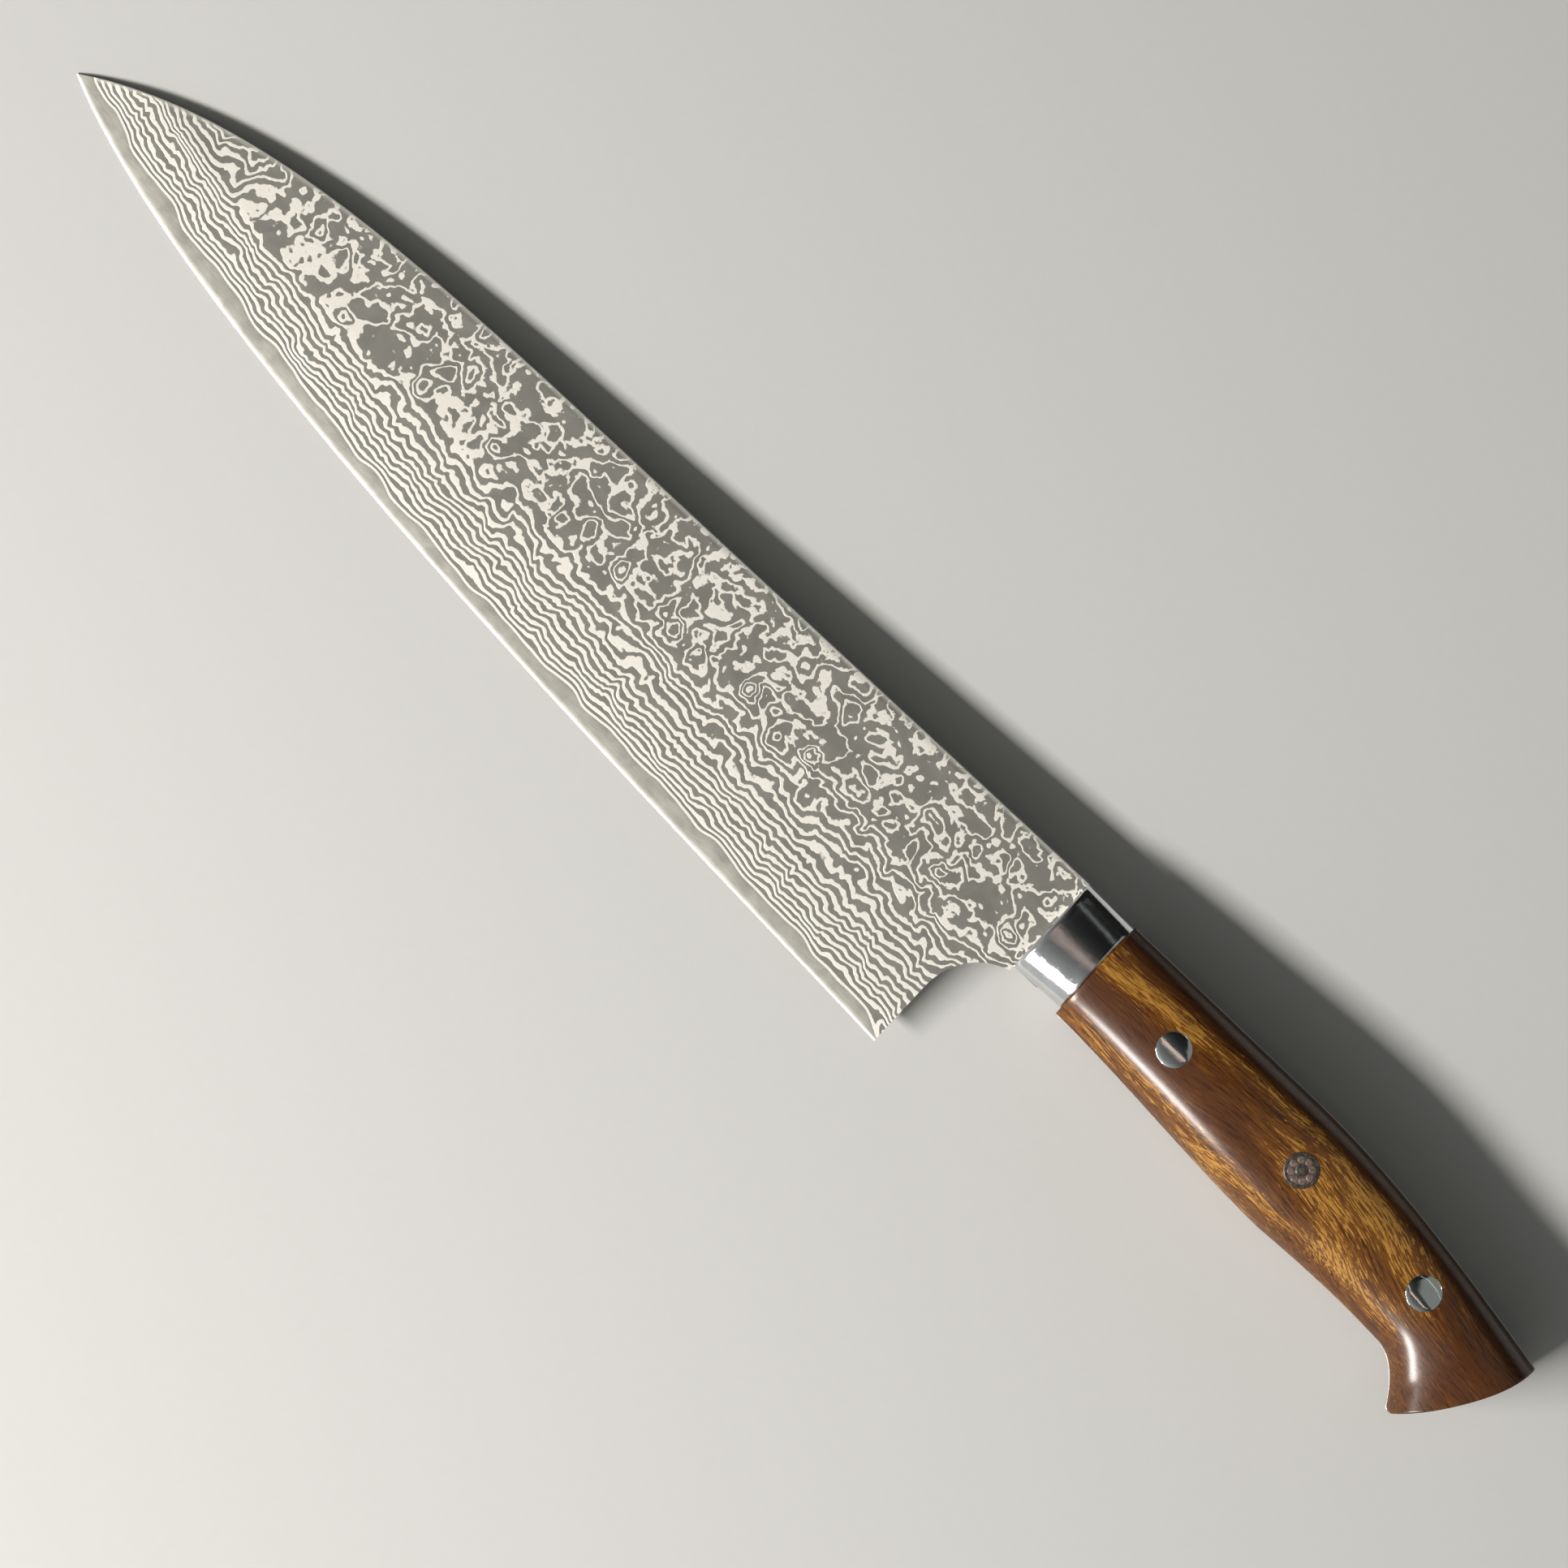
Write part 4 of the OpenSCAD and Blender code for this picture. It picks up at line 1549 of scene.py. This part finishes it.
@dataclass
class Scales:
    """The two wooden scales, bored for the pins."""

    maker: Maker
    grip: GripPlan = field(default_factory=GripPlan)
    butt_round: float = 0.55
    front_round: float = 0.30
    bore_radius: float = 3.52
    lengthwise: int = 118
    crosswise: int = 54
    right_shift: float = 170.0
    # Painted shade along the spine side of the wood: its strength, and its width in millimetres.
    spine_painted_shade: float = -0.9
    spine_painted_shade_mm: float = 4.2

    def stations(self) -> np.ndarray:
        """Shares along the handle, crowded where the two ends are rounded."""
        length = self.grip.front - self.grip.butt
        front = np.linspace(0, 1, 6) ** 1.5 * (self.front_round / length)
        butt = 1.0 - (np.linspace(1, 0, 8) ** 1.5) * (1.6 * self.butt_round / length)
        middle = np.linspace(front[-1], butt[0], self.lengthwise)[1:-1]
        return np.concatenate([front, middle, butt])

    def borders(self, shares: np.ndarray) -> Tuple[np.ndarray, np.ndarray]:
        """Spine border and belly border at shares of the way from front to butt."""
        grip = self.grip
        butt = np.array(grip.butt_curve)
        spine_x = mix(grip.front, butt[0, 0], shares)
        belly_x = mix(grip.front, butt[3, 0], shares)
        tip = np.clip(span(belly_x, grip.hook_end, butt[3, 0]), 0.0, 1.0)
        hook_tip = grip.belly_y(np.array(grip.hook_end))
        belly_y = grip.belly_y(np.maximum(belly_x, grip.hook_end)) + tip * (butt[3, 1] - hook_tip)
        spine = np.stack([spine_x, grip.spine_y(spine_x)], -1)
        belly = np.stack([belly_x, belly_y], -1)
        spine += ease(span(shares, 0.9, 1.0))[:, None] * (butt[0] - spine[-1])
        return spine, belly

    def grid(self) -> np.ndarray:
        """Outer surface of the left scale, blended between its four borders."""
        grip = self.grip
        s = self.stations()
        t = spread(self.crosswise)
        spine, belly = self.borders(s)
        front = np.stack([np.full_like(t, grip.front), mix(spine[0, 1], belly[0, 1], t)], -1)
        butt = cubic(grip.butt_curve, t)
        sides = mix(spine[:, None, :], belly[:, None, :], t[None, :, None])
        ends = mix(front[None, :, :], butt[None, :, :], s[:, None, None])
        corners = mix(
            mix(spine[0], belly[0], t[:, None])[None],
            mix(spine[-1], belly[-1], t[:, None])[None],
            s[:, None, None],
        )
        flat = sides + ends - corners
        z = grip.height(flat[..., 0], flat[..., 1])
        z[:, 0] = grip.tang_half
        z[:, -1] = grip.tang_half
        to_butt = np.linalg.norm(flat - flat[-1:, :, :], axis=-1)
        to_front = grip.front - flat[..., 0]
        room = np.clip(z - grip.tang_half, 0.0, None)
        fall = end_drop(to_butt, self.butt_round) + end_drop(to_front, self.front_round)
        z = z - np.minimum(fall, room * 0.8)
        return np.concatenate([flat, z[..., None]], -1)

    def tone(self, points: np.ndarray) -> np.ndarray:
        """Random light and dark patches of the wood at each point, plus painted shade darkest along the
        spine side.
        """
        over = points[:, 1] - self.grip.spine_y(points[:, 0])
        # Painted shade that fades out within that width from the spine border.
        edge = self.spine_painted_shade * (1.0 - ease(over / self.spine_painted_shade_mm))
        return edge + sum(spot.at(points) for spot in WOOD_TONES)

    def build(self) -> None:
        """Makes both scales and dresses them."""
        top = self.grid()
        bottom = top.copy()
        bottom[..., 2] = self.grip.tang_half
        bottom[:, (0, -1), 2] -= 0.01
        solid = solid_between([top], [bottom])
        for side, name, shift in ((Side.LEFT, "left", 0.0), (Side.RIGHT, "right", self.right_shift)):
            piece = self.maker.piece(f"scale_{name}_look", mirrored(solid, side))
            self.maker.tidy(piece)
            self.maker.cut_round(piece, self.grip.pins, self.bore_radius)
            self.maker.tidy(piece)
            finish = WaxedWood().material(f"waxed_wood_{name}", shift)
            self.maker.place(piece, "scale_wood", finish, {"tone": self.tone})


@dataclass
class Pins:
    """Three through pins: two plain ones, and one filled with rods set in resin."""

    maker: Maker
    grip: GripPlan = field(default_factory=GripPlan)
    radius: float = 3.5
    wall: float = 0.6
    rods: int = 8
    rod_share: float = 0.26
    rod_room: Place2 = (0.08, 0.12)
    rod_dome: float = 0.03
    dome: float = 0.16
    proud: float = 0.02
    rim_round: float = 0.07
    fill_room: float = 0.005
    fill_sunk: float = 0.015

    def end_height(self, places: np.ndarray) -> np.ndarray:
        """Height of the handle at places, where a pin's end is flush with the wood."""
        return self.grip.height(places[..., 0], places[..., 1])

    def turned(
        self, middle: Place2, outer: float, inner: float, dome: float, lift: float, around: int = 72
    ) -> Solid:
        """A round bar or tube right through the handle, with domed and eased ends.

        Args:
            middle: X and Y of its axis.
            outer: Outer radius.
            inner: Inner radius, or 0 for a bar.
            dome: How far the middle of each end stands over its rim.
            lift: How far the ends stand over the wood.
            around: Number of points round it.

        Returns:
            The closed solid.
        """
        round_mm = min(self.rim_round, 0.3 * (outer - inner))
        steps = np.linspace(0, 1, 5)
        outer_rings = outer - round_mm * (1.0 - np.sin(steps * math.pi / 2))[::-1]
        first = inner if inner > 0.0 else 0.04 * outer
        across = np.linspace(first, outer - round_mm, 9)[:-1]
        radii = np.concatenate([across, outer_rings])
        angles = np.linspace(0, 2 * math.pi, around + 1)
        rings = []
        for radius in radii:
            circle = np.stack([np.cos(angles), np.sin(angles)], -1)
            places = np.array(middle) + radius * circle
            drop = end_drop(np.full(len(angles), outer - radius), round_mm)
            rise = dome * (1.0 - (radius / outer) ** 2)
            z = self.end_height(places) + lift + rise - drop
            ring = np.concatenate([places, z[:, None]], -1)
            ring[-1] = ring[0]
            rings.append(ring)
        top = np.array(rings)
        if inner <= 0.0:
            centre = np.array([middle[0], middle[1], 0.0])
            centre[2] = float(self.end_height(centre)) + lift + dome
            top = np.concatenate([np.repeat(centre[None, None], len(angles), 1), top])
        bottom = top * np.array([1.0, 1.0, -1.0])
        return solid_between([top], [bottom])

    def make(self, name: str, solids: Sequence[Solid], slot: str, finish: bpy.types.Material) -> None:
        """Makes one piece out of solids that stand apart, and dresses it."""
        points = np.concatenate([s.points for s in solids])
        faces: List[Tuple[int, ...]] = []
        offset = 0
        for solid in solids:
            faces += [tuple(k + offset for k in face) for face in solid.faces]
            offset += len(solid.points)
        piece = self.maker.piece(name, Solid(points, faces))
        self.maker.tidy(piece)
        self.maker.place(piece, slot, finish)

    def build(self) -> None:
        """Makes the plain pins and the parts of the decorated one, and dresses them."""
        front, middle, rear = self.grip.pins
        mirror = MirrorSteel("pin_mirror", PIN_COLOUR, 0.07, 0.002).material()
        for name, place in (("front", front), ("rear", rear)):
            bar = self.turned(place, self.radius, 0.0, self.dome, self.proud)
            self.make(f"{name}_pin_look", [bar], "pin_steel", mirror)
        bore = self.radius - self.wall
        rod_radius = self.rod_share * bore
        ring_radius = bore - rod_radius - self.rod_room[0]
        core_radius = ring_radius - rod_radius - self.rod_room[1]
        places = [
            (middle[0] + ring_radius * math.cos(a), middle[1] + ring_radius * math.sin(a))
            for a in np.linspace(0, 2 * math.pi, self.rods, endpoint=False)
        ]
        tube_finish = TUBE_STEEL.material()
        tube = self.turned(middle, self.radius, bore, 0.0, self.proud)
        self.make("mosaic_pin_tube_look", [tube], "mosaic_tube_steel", tube_finish)
        rods = [self.turned(p, rod_radius, 0.0, self.rod_dome, self.proud, 28) for p in places]
        self.make("mosaic_pin_rods_look", rods, "mosaic_rod_metal", ROD_METAL.material())
        centre = self.turned(middle, core_radius, 0.5 * core_radius, 0.0, self.proud, 40)
        self.make("mosaic_pin_core_look", [centre], "mosaic_tube_steel", tube_finish)
        fill = self.turned(middle, bore - self.fill_room, 0.0, 0.0, -self.fill_sunk)
        self.make("mosaic_pin_resin_look", [fill], "mosaic_resin", RESIN.material())


# ---------------------------------------------------------------- studio


@dataclass(frozen=True)
class SoftBox:
    """A rectangular studio light, hung lengthwise along the knife.

    Attributes:
        name: Name of the light.
        toward: Direction from the knife to the light, in the knife's frame.
        distance: How far away it is, in metres.
        size: Length along the knife and width across it, in metres.
        power: Power, in watts.
        colour: Colour of its light.
    """

    name: str
    toward: Tuple[float, float, float]
    distance: float
    size: Tuple[float, float]
    power: float
    colour: Colour = (1.0, 1.0, 1.0)


KEY_BOX = SoftBox("key_box", (0.30, 0.665, 0.685), 1.3, (0.80, 0.20), 27.0, (1.0, 0.975, 0.94))
FILL_BOX = SoftBox("fill_box", (-0.60, -0.50, 0.75), 2.4, (3.2, 3.0), 7.0, (0.93, 1.0, 0.95))
TOP_STRIP = SoftBox("top_strip", (0.15, 0.072, 1.0), 2.2, (1.7, 0.045), 0.46, (1.0, 0.74, 0.63))
BACK_STRIP = SoftBox("back_strip", (0.0, -0.60, 0.80), 1.7, (1.6, 0.06), 0.13, (0.95, 1.0, 0.97))


@dataclass
class Studio:
    """A pale floor, soft lights and the camera above the knife."""

    frame: KnifeFrame
    aim: Place2 = (-0.0058, 0.0008)
    view_width: float = 0.2989
    camera_height: float = 1.80
    blade_level: float = 0.008
    floor_size: float = 6.0
    floor_colour: Colour = (0.56, 0.555, 0.54)
    floor_rough: float = 0.85
    floor_grain: Grain = Grain(scale=400.0, detail=3.0, rough=0.6)
    floor_gap: float = 0.0002
    dark_room: Colour = (0.012, 0.013, 0.012)
    light_room: Colour = (0.56, 0.57, 0.56)
    lit_side: Tuple[float, float, float] = (0.25, 1.0, 0.0)
    lit_span: Place2 = (-0.45, 0.95)
    image_right: Tuple[float, float, float] = (-0.7325, -0.6807, 0.0)
    lights: Tuple[SoftBox, ...] = (KEY_BOX, FILL_BOX, TOP_STRIP, BACK_STRIP)

    def floor(self) -> None:
        """Lays a plain pale floor under the knife."""
        mesh = bpy.data.meshes.new("floor")
        work = bmesh.new()
        bmesh.ops.create_grid(work, x_segments=8, y_segments=8, size=self.floor_size / 2.0)
        work.to_mesh(mesh)
        work.free()
        floor = linked("floor", mesh)
        floor.location = (0.0, 0.0, -self.floor_gap)
        material, board, shader = new_material("floor_paper")
        place = board.add("ShaderNodeTexCoord", {}).outputs["Object"]
        mottle = board.rise(board.noise(place, self.floor_grain), -0.4, 0.4)
        colour = board.blend(mottle, shade(self.floor_colour, 0.98), self.floor_colour)
        board.feed_all(shader, Base_Color=colour, Roughness=self.floor_rough)
        mesh.materials.append(material)

    def light(self, box: SoftBox) -> None:
        """Hangs one light and turns it to the knife."""
        data = bpy.data.lights.new(box.name, "AREA")
        data.shape = "RECTANGLE"
        data.size, data.size_y = box.size
        data.energy = box.power
        data.color = box.colour
        lamp = linked(box.name, data)
        toward = self.frame.direction(box.toward)
        along = self.frame.direction((1.0, 0.0, 0.0))
        along = (along - toward * along.dot(toward)).normalized()
        turn = Matrix((along, toward.cross(along), toward)).transposed().to_4x4()
        lamp.matrix_world = Matrix.Translation(toward * box.distance) @ turn

    def world(self) -> None:
        """Fills the room with a dim light, stronger on the side of the key light."""
        world = bpy.data.worlds.new("room")
        world.use_nodes = True
        board = NodeBoard(world.node_tree)
        background = next(n for n in world.node_tree.nodes if n.type == "BACKGROUND")
        way = board.add("ShaderNodeTexCoord", {}).outputs["Generated"]
        lit_side = tuple(self.frame.direction(self.lit_side))
        share = board.rise(board.vector("DOT_PRODUCT", way, lit_side), *self.lit_span)
        colour = board.blend(board.times(share, share), self.dark_room, self.light_room)
        board.feed(background.inputs["Color"], colour)
        bpy.context.scene.world = world

    def camera(self) -> None:
        """Puts the camera straight above the knife, turned as the knife lies in view."""
        data = bpy.data.cameras.new("camera")
        data.sensor_width = 36.0
        data.lens = data.sensor_width * self.camera_height / self.view_width
        data.clip_end = 20.0
        camera = linked("camera", data)
        right = Vector(self.image_right).normalized()
        up = Vector((0.0, 0.0, 1.0)).cross(right)
        turn = Matrix((right, up, Vector((0.0, 0.0, 1.0)))).transposed().to_4x4()
        height = self.camera_height + self.blade_level
        camera.matrix_world = Matrix.Translation((*self.aim, height)) @ turn
        bpy.context.scene.camera = camera

    def build(self) -> None:
        """Sets up the floor, the lights, the room and the camera."""
        self.floor()
        for box in self.lights:
            self.light(box)
        self.world()
        self.camera()
        bpy.context.scene.view_settings.view_transform = "Standard"


def main() -> None:
    """Builds the knife and its studio, and logs the shift of the knife's frame."""
    logging.basicConfig(level=logging.INFO, format="%(name)s %(message)s")
    knife_frame = KnifeFrame.from_blade(BladePlan())
    LOG.info("shift of the knife's frame: %s", knife_frame.shift)
    maker = Maker(knife_frame)
    Blade(maker).build()
    Tang(maker).build()
    Bolster(maker).build()
    Scales(maker).build()
    Pins(maker).build()
    Studio(knife_frame).build()


if __name__ == "__main__":
    main()
